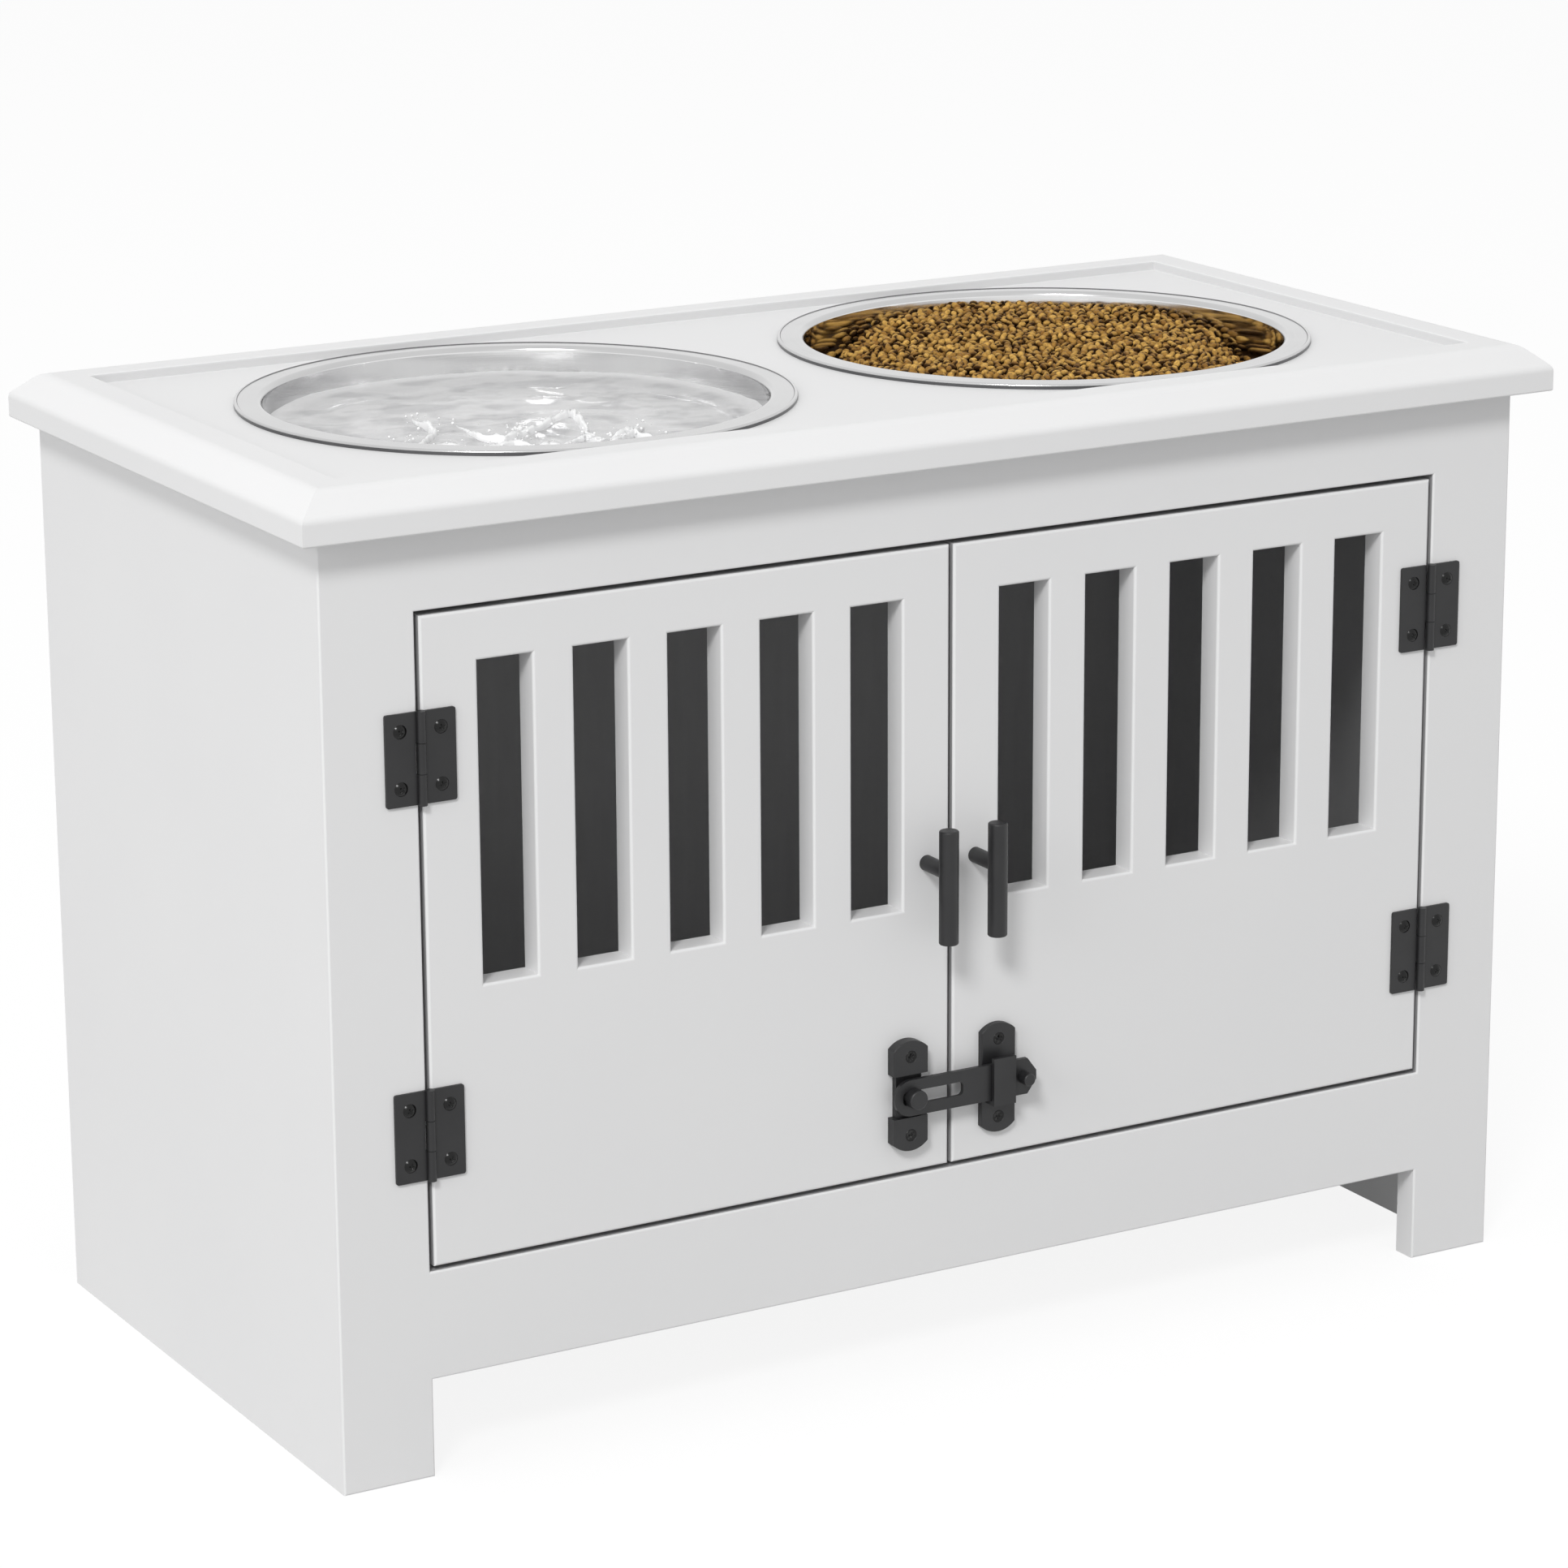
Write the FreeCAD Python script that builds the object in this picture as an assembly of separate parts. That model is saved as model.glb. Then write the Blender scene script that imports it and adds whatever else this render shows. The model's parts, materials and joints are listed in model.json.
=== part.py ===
import FreeCAD, Part
import os
import math

# Raised feeding stand for a dog: a white cabinet with two slotted doors, and two steel
# bowls that drop into its top. Lengths are in millimetres.
# The sub-parts are built with X to the right, Y to the back and Z up, from the middle of
# the front face at floor level, and the finished part is centred on its own footprint.

# Overall sizes
topLength = 600.0
topDepth = 300.0
bodyHeight = 398.0
sideOverhang = 12.0
frontOverhang = 14.0
backOverhang = 4.0

# Boards
boardThickness = 12.0
backThickness = 5.0
backRabbet = 6.0
backClearance = 0.3
edgeRound = 0.9

# Front frame
stileWidth = 41.0
topRailHeight = 34.0
apronHeight = 46.5
footHeight = 42.5

# Top
edgeHeight = 10.5
bevelWidth = 11.0
bevelHeight = 9.5
mouldingWidth = 27.0
deckThickness = 16.0
rabbetDepth = 10.0
bevelLowerRound = 4.0
bevelUpperRound = 8.0

# Doors
doorGap = 2.0
slotCount = 5
slotWidth = 24.6
slotInnerMargin = 22.7
slotOuterMargin = 25.1
slotHeight = 134.0
slotTopMargin = 21.0
slotEdgeRound = 1.2

# Hinges
hingeHeight = 38.0
hingeWidth = 31.0
leafThickness = 1.2
knuckleRadius = 1.9
knuckleCount = 3
knuckleGap = 0.2
leafGap = 0.4
leafCornerRadius = 1.0
hingePinRadius = 1.0
hingePinClearance = 0.05
hingePinHead = 0.3
hingeInset = 57.0
hingeScrewSpacing = 23.4
hingeScrewOffset = 9.0

# Wood screws
screwHeadRadius = 3.0
screwHeadHeight = 1.4
screwShankRadius = 1.4
screwShankLength = 9.0
screwTipRadius = 0.35
screwClearance = 0.05
leafHoleClearance = 0.2
crossWidth = 0.8
crossLength = 3.0
crossDepth = 0.8

# Handles
handleSpacing = 24.0
handleBarRadius = 4.2
handleBarLength = 49.5
handleBarDrop = 18.5
handleBarReach = 18.0
handleBarRound = 0.8
handlePostRadius = 3.4
handlePostHeight = 226.5
handleScrewRadius = 2.0
handleScrewDepth = 8.0
handleScrewHeadRadius = 4.0
handleScrewHeadHeight = 2.2

# Latch
latchHeight = 126.5
latchPlateSpacing = 45.0
latchPlateWidth = 16.8
latchPlateLength = 49.0
latchPlateArch = 3.6
latchBaseThickness = 5.2
latchWaistThickness = 3.0
latchWaistHeight = 19.0
latchWaistInset = 2.2
catchThickness = 3.0
catchLipWidth = 11.0
catchLipThickness = 1.9
catchLipRise = 3.0
catchLipShift = 1.0
catchGap = 0.5
catchFloorGap = 0.3
latchBarHeight = 16.0
latchBarThickness = 2.0
latchBarStandOff = 0.3
latchBarLeftReach = 9.3
latchBarTipReach = 61.2
latchBarPoint = 4.5
latchBarTipHeight = 4.0
latchSlotWidth = 6.1
latchSlotPlay = 2.3
latchSlotLength = 29.8
latchSlotRound = 2.0
latchPinRadius = 3.0
latchPinTailRadius = 1.5
latchPinHeadRadius = 4.3
latchPinHeadHeight = 4.6
latchPinHeadGap = 0.2
latchKnobInset = 6.7
latchKnobRadius = 2.8
latchKnobHeight = 6.0
latchKnobTenonRadius = 1.6
latchScrewMargin = 7.0
latchHeadRadius = 2.7
latchHeadDepth = 1.4

# Bowls
bowlEndMargin = 23.0
bowlSideMargin = 4.5
bowlMiddleGap = 26.0
bowlRimWidth = 11.8
bowlDepth = 72.0
bowlWall = 1.0
bowlRimHeight = 2.4
bowlRimRound = 1.0
bowlMouthRound = 2.5
bowlFloorInset = 4.0
bowlFloorRound = 45.0
bowlHoleClearance = 1.6

# Inside fittings
cleatSize = 12.0
cleatMargin = 14.0
cleatScrewInset = 25.0
cleatScrewCount = 3
cleatScrewLength = 19.0
bracketLeg = 20.0
bracketWidth = 16.0
bracketThickness = 2.0
bracketInset = 46.0
bracketScrewReach = 12.0
stopEndGap = 57.0
stopThickness = 12.0
stopHeight = 20.0
stopLap = 7.0
dowelRadius = 3.0
dowelLength = 20.0
dowelDepth = 6.0
dowelClearance = 0.05
dowelInset = 60.0
dowelCount = 3
backScrewCount = 4
backScrewMargin = 30.0
backShelfScrews = 3
backScrewLength = 14.0

# Cutting tools run past the faces they open by this much, and points that lie closer
# together than the tolerance count as one
overrun = 5.0
tolerance = 0.0001

# Sizes that follow
topThickness = edgeHeight + bevelHeight
bodyWidth = topLength - 2 * sideOverhang
bodyDepth = topDepth - frontOverhang - backOverhang
halfBody = bodyWidth / 2
halfInside = halfBody - boardThickness
openingWidth = bodyWidth - 2 * stileWidth
openingBottom = footHeight + apronHeight
openingTop = bodyHeight - topRailHeight
doorWidth = (openingWidth - 3 * doorGap) / 2
doorHeight = openingTop - openingBottom - 2 * doorGap
doorBottom = openingBottom + doorGap
doorTop = doorBottom + doorHeight
doorInnerEdge = doorGap / 2
doorOuterEdge = doorInnerEdge + doorWidth
slotPitch = (doorWidth - slotInnerMargin - slotOuterMargin - slotWidth) / (slotCount - 1)
hingeLine = openingWidth / 2 - doorGap / 2
hingeHeights = [doorTop - hingeInset, doorBottom + hingeInset]
deckTop = bodyHeight + deckThickness
deckLength = topLength - 2 * mouldingWidth
deckDepth = topDepth - 2 * mouldingWidth
shelfTop = openingBottom
shelfBottom = shelfTop - boardThickness
insideBack = bodyDepth - backThickness
stopLength = openingWidth - 2 * stopEndGap
latchPlateX = latchPlateSpacing / 2
latchPinX = -latchPlateX
latchBarBack = latchBaseThickness + latchBarStandOff
latchBarFront = latchBarBack + latchBarThickness
latchBarTip = latchPinX + latchBarTipReach
latchKnobX = latchBarTip - latchKnobInset
catchLipBack = latchBarFront + catchGap
catchLipFront = catchLipBack + catchLipThickness
handleBarFront = handleBarReach + handleBarRadius
bowlRimRadius = min(deckDepth / 2 - bowlSideMargin, (deckLength - bowlMiddleGap) / 4 - bowlEndMargin / 2)
bowlMouthRadius = bowlRimRadius - bowlRimWidth
bowlFloorRadius = bowlMouthRadius - bowlFloorInset
bowlSpacing = deckLength - 2 * bowlEndMargin - 2 * bowlRimRadius
bowlCentreY = bodyDepth / 2 - (frontOverhang - backOverhang) / 2
bowlHoleRadius = bowlMouthRadius + bowlWall + bowlHoleClearance
frontReach = max(handleBarFront, frontOverhang, catchLipFront)
backReach = bodyDepth + backOverhang
footprintCentre = (backReach - frontReach) / 2


def vec(x, y, z):
    return FreeCAD.Vector(x, y, z)


def box(x0, x1, y0, y1, z0, z1):
    """Block between two corners."""
    corner = vec(min(x0, x1), min(y0, y1), min(z0, z1))
    return Part.makeBox(abs(x1 - x0), abs(y1 - y0), abs(z1 - z0), corner)


def rod(x, y, z, radius, length, direction):
    """Cylinder that starts at a point and runs along a direction."""
    return Part.makeCylinder(radius, length, vec(x, y, z), direction)


def roundedFace(corners, place):
    """Flat face from (a, b, radius) corners; a radius above zero rounds that corner."""
    flat = [vec(a, b, 0) for a, b, radius in corners]
    edges = []
    starts = []
    ends = []
    count = len(corners)
    for i in range(count):
        here = flat[i]
        radius = corners[i][2]
        before = (flat[i - 1] - here).normalize()
        after = (flat[(i + 1) % count] - here).normalize()
        if radius == 0:
            starts.append(here)
            ends.append(here)
            continue
        half = before.getAngle(after) / 2
        reach = radius / math.tan(half)
        middle = (before + after).normalize()
        centre = here + middle * (radius / math.sin(half))
        starts.append(here + before * reach)
        ends.append(here + after * reach)
        edges.append(Part.Arc(place(starts[i]), place(centre - middle * radius), place(ends[i])).toShape())
    for i in range(count):
        a = ends[i]
        b = starts[(i + 1) % count]
        if a.distanceToPoint(b) > tolerance:
            edges.append(Part.LineSegment(place(a), place(b)).toShape())
    return Part.Face(Part.Wire(Part.__sortEdges__(edges)))


def frontEdges(shape, depth):
    """Edges of a board that lie in its front plane."""
    found = []
    for edge in shape.Edges:
        if all(abs(v.Point.y - depth) < tolerance for v in edge.Vertexes):
            found.append(edge)
    return found


def roundHead():
    """Domed screw head below Z zero."""
    ball = (screwHeadRadius ** 2 + screwHeadHeight ** 2) / (2 * screwHeadHeight)
    dome = Part.makeSphere(ball, vec(0, 0, ball - screwHeadHeight))
    return dome.common(rod(0, 0, -screwHeadHeight, screwHeadRadius, screwHeadHeight, vec(0, 0, 1)))


def flatHead():
    """Countersunk screw head above Z zero."""
    return Part.makeCone(latchHeadRadius, screwShankRadius, latchHeadDepth)


def screw(x, y, z, direction, length, head, headTop):
    """Cross-head wood screw; its seat is at the point and the shank runs along the direction."""
    shank = rod(0, 0, 0, screwShankRadius, length - screwShankRadius, vec(0, 0, 1))
    tip = Part.makeCone(screwShankRadius, screwTipRadius, screwShankRadius,
                        vec(0, 0, length - screwShankRadius), vec(0, 0, 1))
    whole = head.fuse([shank, tip]).removeSplitter()
    long = crossLength / 2
    wide = crossWidth / 2
    floor = crossDepth - headTop
    cross = [box(-long, long, -wide, wide, -headTop - overrun, floor),
             box(-wide, wide, -long, long, -headTop - overrun, floor)]
    return placed(whole.cut(cross), x, y, z, direction)


def roundScrew(x, y, z, direction, length):
    return screw(x, y, z, direction, length, roundHead(), screwHeadHeight)


def flatScrew(x, y, z, direction, length):
    return screw(x, y, z, direction, length, flatHead(), 0)


def placed(shape, x, y, z, direction):
    """Turn a shape built along Z so that it runs along a direction, and put it at a point."""
    turn = FreeCAD.Rotation(vec(0, 0, 1), direction)
    shape.Placement = FreeCAD.Placement(vec(x, y, z), turn)
    return shape


def pilot(x, y, z, direction, length):
    """Hole that a wood screw's shank is driven into."""
    start = vec(x, y, z) - direction * overrun
    return Part.makeCylinder(screwShankRadius + screwClearance, length + overrun, start, direction)


# Places of the fasteners, each as (x, y, z) where the head seats

def hingeScrewPlaces(side, onDoor):
    """Heads of the four screws in the leaves on one side's frame or door."""
    lean = -side if onDoor else side
    x = side * hingeLine + lean * hingeScrewOffset
    places = []
    for middle in hingeHeights:
        for step in (-hingeScrewSpacing / 2, hingeScrewSpacing / 2):
            places.append((x, -leafThickness, middle + step))
    return places


def cleatScrewPlaces(side):
    first = boardThickness + cleatMargin + cleatScrewInset
    last = insideBack - cleatMargin - cleatScrewInset
    z = shelfBottom - cleatSize / 2
    step = (last - first) / (cleatScrewCount - 1)
    return [(side * (halfInside - cleatSize), first + i * step, z) for i in range(cleatScrewCount)]


def bracketPlaces():
    """Middle of each bracket along Y, with its side."""
    places = []
    for side in (-1, 1):
        places.append((side, boardThickness + bracketInset))
        places.append((side, insideBack - bracketInset))
    return places


def bracketScrewPlaces():
    """Heads on the upright legs with their direction, then heads on the flat legs."""
    places = []
    for side, y in bracketPlaces():
        inner = halfInside - bracketThickness
        places.append((side * inner, y, bodyHeight - bracketScrewReach, vec(side, 0, 0)))
        places.append((side * (halfInside - bracketScrewReach), y, bodyHeight - bracketThickness,
                       vec(0, 0, 1)))
    return places


def dowelPlaces(side):
    """Front end of each dowel between the front frame and a side panel."""
    step = (bodyHeight - 2 * dowelInset) / (dowelCount - 1)
    x = side * (halfBody - boardThickness / 2)
    return [(x, boardThickness - dowelDepth, dowelInset + i * step) for i in range(dowelCount)]


def backScrewPlaces(side):
    """Heads along one upright edge of the back panel."""
    first = footHeight + backScrewMargin
    step = (bodyHeight - backScrewMargin - first) / (backScrewCount - 1)
    x = side * (halfInside + backRabbet / 2)
    return [(x, bodyDepth, first + i * step) for i in range(backScrewCount)]


def backShelfPlaces():
    """Heads of the screws that go through the back panel into the shelf."""
    step = bodyWidth / (backShelfScrews + 1)
    return [(-halfBody + (i + 1) * step, bodyDepth, shelfBottom + boardThickness / 2)
            for i in range(backShelfScrews)]


def latchScrewPlaces(x, thickness):
    reach = latchPlateLength / 2 - latchScrewMargin
    return [(x, -thickness, latchHeight + step) for step in (-reach, reach)]


# Cabinet

def sidePanel(side):
    """Upright side board, rabbeted at the back edge for the back panel."""
    board = box(side * halfInside, side * halfBody, boardThickness, bodyDepth, 0, bodyHeight)
    rabbet = box(side * (halfInside - overrun), side * (halfInside + backRabbet), insideBack,
                 bodyDepth + overrun, footHeight - backClearance, bodyHeight + overrun)
    holes = [rabbet]
    for x, y, z in dowelPlaces(side):
        holes.append(rod(x, y, z, dowelRadius + dowelClearance, dowelLength + dowelClearance,
                         vec(0, 1, 0)))
    for x, y, z in cleatScrewPlaces(side):
        holes.append(pilot(x, y, z, vec(side, 0, 0), cleatScrewLength))
    for x, y, z in backScrewPlaces(side):
        holes.append(pilot(x, y, z, vec(0, -1, 0), backScrewLength))
    for x, y, z, direction in bracketScrewPlaces():
        if x * side > 0 and direction.z == 0:
            holes.append(pilot(x, y, z, direction, screwShankLength))
    return board.cut(holes)


def frontFrame():
    """Front board with the door opening and the gap between the feet cut out."""
    board = box(-halfBody, halfBody, 0, boardThickness, 0, bodyHeight)
    opening = box(-openingWidth / 2, openingWidth / 2, -overrun, boardThickness + overrun,
                  openingBottom, openingTop)
    feet = box(-openingWidth / 2, openingWidth / 2, -overrun, boardThickness + overrun,
               -overrun, footHeight)
    board = board.cut([opening, feet])
    board = board.makeFillet(edgeRound, frontEdges(board, 0))
    holes = []
    for side in (-1, 1):
        for x, y, z in dowelPlaces(side):
            holes.append(rod(x, y, z, dowelRadius + dowelClearance, dowelDepth + overrun,
                             vec(0, 1, 0)))
        for x, y, z in hingeScrewPlaces(side, False):
            holes.append(pilot(x, y, z, vec(0, 1, 0), screwShankLength))
    return board.cut(holes)


def backPanel():
    """Thin board that drops into the rabbets of the side panels."""
    half = halfInside + backRabbet - backClearance
    board = box(-half, half, insideBack, bodyDepth, footHeight, bodyHeight)
    holes = []
    for x, y, z in backScrewPlaces(-1) + backScrewPlaces(1) + backShelfPlaces():
        holes.append(pilot(x, y, z, vec(0, -1, 0), backScrewLength))
    return board.cut(holes)


def bottomShelf():
    board = box(-halfInside, halfInside, boardThickness, insideBack, shelfBottom, shelfTop)
    return board.cut([pilot(x, y, z, vec(0, -1, 0), backScrewLength)
                      for x, y, z in backShelfPlaces()])


def shelfCleat(side):
    """Strip on a side panel that the shelf rests on."""
    strip = box(side * (halfInside - cleatSize), side * halfInside, boardThickness + cleatMargin,
                insideBack - cleatMargin, shelfBottom - cleatSize, shelfBottom)
    return strip.cut([pilot(x, y, z, vec(side, 0, 0), cleatScrewLength)
                      for x, y, z in cleatScrewPlaces(side)])


def doorStop():
    """Strip behind the top rail that stops both doors flush with the frame."""
    return box(-stopLength / 2, stopLength / 2, boardThickness, boardThickness + stopThickness,
               doorTop - stopLap, doorTop - stopLap + stopHeight)


def cornerBracket(side, y):
    """Steel angle between a side panel and the top."""
    y0 = y - bracketWidth / 2
    y1 = y + bracketWidth / 2
    upright = box(side * (halfInside - bracketThickness), side * halfInside, y0, y1,
                  bodyHeight - bracketLeg, bodyHeight)
    flat = box(side * (halfInside - bracketLeg), side * halfInside, y0, y1,
               bodyHeight - bracketThickness, bodyHeight)
    return upright.fuse(flat).removeSplitter()


def cornerBrackets():
    holes = [pilot(x, y, z, direction, screwShankLength)
             for x, y, z, direction in bracketScrewPlaces()]
    return Part.makeCompound([cornerBracket(side, y).cut(holes) for side, y in bracketPlaces()])


def bracketScrews():
    return Part.makeCompound([roundScrew(x, y, z, direction, screwShankLength)
                              for x, y, z, direction in bracketScrewPlaces()])


def cleatScrews():
    return Part.makeCompound([roundScrew(x, y, z, vec(side, 0, 0), cleatScrewLength)
                              for side in (-1, 1) for x, y, z in cleatScrewPlaces(side)])


def frameDowels():
    return Part.makeCompound([rod(x, y, z, dowelRadius, dowelLength, vec(0, 1, 0))
                              for side in (-1, 1) for x, y, z in dowelPlaces(side)])


def backScrews():
    places = backScrewPlaces(-1) + backScrewPlaces(1) + backShelfPlaces()
    return Part.makeCompound([roundScrew(x, y, z, vec(0, -1, 0), backScrewLength)
                              for x, y, z in places])


# Top

def topPanel():
    """Deck between the mouldings, with a round hole for each bowl."""
    inset = mouldingWidth - rabbetDepth
    board = box(-topLength / 2 + inset, topLength / 2 - inset, -frontOverhang + inset,
                bodyDepth + backOverhang - inset, bodyHeight, deckTop)
    holes = [rod(side * bowlSpacing / 2, bowlCentreY, bodyHeight - overrun, bowlHoleRadius,
                 deckThickness + 2 * overrun, vec(0, 0, 1)) for side in (-1, 1)]
    for x, y, z, direction in bracketScrewPlaces():
        if direction.z:
            holes.append(pilot(x, y, z, direction, screwShankLength))
    return board.cut(holes)


def mouldingOutline():
    """Section of the top's edge: distance in from the edge, height above the body, rounding."""
    return [(0, 0, edgeRound),
            (0, edgeHeight, bevelLowerRound),
            (bevelWidth, topThickness, bevelUpperRound),
            (mouldingWidth, topThickness, edgeRound),
            (mouldingWidth, deckThickness, 0),
            (mouldingWidth - rabbetDepth, deckThickness, 0),
            (mouldingWidth - rabbetDepth, 0, 0)]


def moulding(length, width):
    """Mitred edge of a top that is length long, lying along X with its outer face at Y zero."""
    def place(point):
        return vec(-length / 2, point.x, bodyHeight + point.y)
    bar = roundedFace(mouldingOutline(), place).extrude(vec(length, 0, 0))
    half = length / 2
    mitre = Part.Wire(Part.makePolygon([vec(-half, 0, bodyHeight), vec(half, 0, bodyHeight),
                                        vec(half - width, width, bodyHeight),
                                        vec(-half + width, width, bodyHeight),
                                        vec(-half, 0, bodyHeight)]))
    return bar.common(Part.Face(mitre).extrude(vec(0, 0, topThickness)))


def topMoulding(side):
    """One of the four mitred edges: front, back, left or right."""
    along = {"front": topLength, "back": topLength, "left": topDepth, "right": topDepth}[side]
    turn = {"front": 0, "right": 90, "back": 180, "left": 270}[side]
    middle = (bodyDepth + backOverhang - frontOverhang) / 2
    bar = moulding(along, mouldingWidth)
    reach = topDepth / 2 if side in ("front", "back") else topLength / 2
    bar.translate(vec(0, -reach, 0))
    bar.rotate(vec(0, 0, 0), vec(0, 0, 1), turn)
    bar.translate(vec(0, middle, 0))
    return bar


# Doors

def slotStarts(side):
    """Left edges of one door's slots."""
    first = doorInnerEdge + slotInnerMargin if side > 0 else slotOuterMargin - doorOuterEdge
    return [first + i * slotPitch for i in range(slotCount)]


def door(side):
    """Flush door with upright slots; side is -1 for the left one and 1 for the right one."""
    board = box(side * doorInnerEdge, side * doorOuterEdge, 0, boardThickness, doorBottom, doorTop)
    top = doorTop - slotTopMargin
    cuts = [box(x, x + slotWidth, -overrun, boardThickness + overrun, top - slotHeight, top)
            for x in slotStarts(side)]
    board = board.cut(cuts)
    board = board.makeFillet(slotEdgeRound, frontEdges(board, 0))
    holes = [pilot(x, y, z, vec(0, 1, 0), screwShankLength)
             for x, y, z in hingeScrewPlaces(side, True)]
    thickness = latchBaseThickness if side < 0 else catchThickness
    holes += [pilot(x, y, z, vec(0, 1, 0), screwShankLength)
              for x, y, z in latchScrewPlaces(side * latchPlateX, thickness)]
    holes.append(rod(side * handleSpacing / 2, -overrun, handlePostHeight,
                     handleScrewRadius + screwClearance, boardThickness + 2 * overrun, vec(0, 1, 0)))
    return board.cut(holes)


# Hinges

def knuckleSpans(middle, onDoor):
    """Height ranges of the knuckles that one leaf carries: the door leaf has the middle one."""
    length = hingeHeight / knuckleCount
    bottom = middle - hingeHeight / 2
    spans = []
    for i in range(knuckleCount):
        if (i % 2 == 1) == onDoor:
            low = bottom + i * length + (knuckleGap / 2 if i else 0)
            high = bottom + (i + 1) * length - (knuckleGap / 2 if i < knuckleCount - 1 else 0)
            spans.append((low, high))
    return spans


def hingeLeaf(side, middle, onDoor):
    """Flat leaf with its knuckles, on the frame or on the door."""
    lean = -side if onDoor else side
    x = side * hingeLine
    near = x + lean * (knuckleRadius + leafGap)
    far = x + lean * hingeWidth / 2
    leaf = box(near, far, -leafThickness, 0, middle - hingeHeight / 2, middle + hingeHeight / 2)
    corners = [e for e in leaf.Edges
               if all(abs(v.Point.x - far) < tolerance for v in e.Vertexes)
               and abs(e.Vertexes[0].Point.y - e.Vertexes[1].Point.y) > leafThickness / 2]
    leaf = leaf.makeFillet(leafCornerRadius, corners)
    bits = []
    for low, high in knuckleSpans(middle, onDoor):
        bits.append(rod(x, -knuckleRadius, low, knuckleRadius, high - low, vec(0, 0, 1)))
        bits.append(box(x, near, -leafThickness, 0, low, high))
    leaf = leaf.fuse(bits).removeSplitter()
    holes = [rod(x, -knuckleRadius, middle - hingeHeight / 2 - overrun,
                 hingePinRadius + hingePinClearance, hingeHeight + 2 * overrun, vec(0, 0, 1))]
    for sx, sy, sz in hingeScrewPlaces(side, onDoor):
        holes.append(rod(sx, -leafThickness - overrun, sz, screwShankRadius + leafHoleClearance,
                         leafThickness + 2 * overrun, vec(0, 1, 0)))
    return leaf.cut(holes)


def hingePin(side, middle):
    """Pin through the knuckles with a round head at each end."""
    x = side * hingeLine
    bottom = middle - hingeHeight / 2
    shaft = rod(x, -knuckleRadius, bottom, hingePinRadius, hingeHeight, vec(0, 0, 1))
    heads = []
    for z, way in ((bottom, -1), (bottom + hingeHeight, 1)):
        ball = Part.makeSphere(knuckleRadius, vec(x, -knuckleRadius, z))
        slab = box(x - knuckleRadius, x + knuckleRadius, -2 * knuckleRadius, 0,
                   z, z + way * hingePinHead)
        heads.append(ball.common(slab))
    return shaft.fuse(heads).removeSplitter()


def hingeScrews(side, onDoor):
    return [roundScrew(x, y, z, vec(0, 1, 0), screwShankLength)
            for x, y, z in hingeScrewPlaces(side, onDoor)]


# Handles

def handlePost(side):
    """Round post between the door and the bar, with a blind hole for its screw."""
    x = side * handleSpacing / 2
    post = rod(x, 0, handlePostHeight, handlePostRadius, handleBarReach, vec(0, -1, 0))
    bar = rod(x, -handleBarReach, handlePostHeight - handleBarLength, handleBarRadius,
              2 * handleBarLength, vec(0, 0, 1))
    hole = rod(x, overrun, handlePostHeight, handleScrewRadius + screwClearance,
               handleScrewDepth + overrun, vec(0, -1, 0))
    return post.cut([bar, hole])


def handleBar(side):
    """Upright round bar with softened ends."""
    top = handlePostHeight + handleBarDrop
    bar = rod(side * handleSpacing / 2, -handleBarReach, top - handleBarLength, handleBarRadius,
              handleBarLength, vec(0, 0, 1))
    rims = [e for e in bar.Edges if len(e.Vertexes) == 1]
    return bar.makeFillet(handleBarRound, rims)


def handleScrew(side):
    """Machine screw that holds the post from behind the door."""
    x = side * handleSpacing / 2
    head = rod(x, boardThickness, handlePostHeight, handleScrewHeadRadius, handleScrewHeadHeight,
               vec(0, 1, 0))
    shank = rod(x, boardThickness, handlePostHeight, handleScrewRadius,
                boardThickness + handleScrewDepth - screwClearance, vec(0, -1, 0))
    return head.fuse(shank).removeSplitter()


# Latch

def archedPlate(x, thickness):
    """Upright plate whose two ends are shallow arcs."""
    half = latchPlateWidth / 2
    shoulder = latchPlateLength / 2 - latchPlateArch
    top = latchHeight + shoulder
    bottom = latchHeight - shoulder
    edges = [Part.LineSegment(vec(x + half, 0, bottom), vec(x + half, 0, top)).toShape(),
             Part.Arc(vec(x + half, 0, top), vec(x, 0, top + latchPlateArch),
                      vec(x - half, 0, top)).toShape(),
             Part.LineSegment(vec(x - half, 0, top), vec(x - half, 0, bottom)).toShape(),
             Part.Arc(vec(x - half, 0, bottom), vec(x, 0, bottom - latchPlateArch),
                      vec(x + half, 0, bottom)).toShape()]
    plate = Part.Face(Part.Wire(edges)).extrude(vec(0, -thickness, 0))
    return plate.makeFillet(edgeRound / 2, frontEdges(plate, -thickness))


def latchScrewHoles(x, thickness):
    """Pilot holes with countersinks for a latch plate's two screws."""
    holes = []
    for sx, sy, sz in latchScrewPlaces(x, thickness):
        holes.append(pilot(sx, sy, sz, vec(0, 1, 0), screwShankLength))
        holes.append(Part.makeCone(latchHeadRadius + screwClearance, screwShankRadius + screwClearance,
                                   latchHeadDepth + screwClearance, vec(sx, sy, sz), vec(0, 1, 0)))
    return holes


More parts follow.
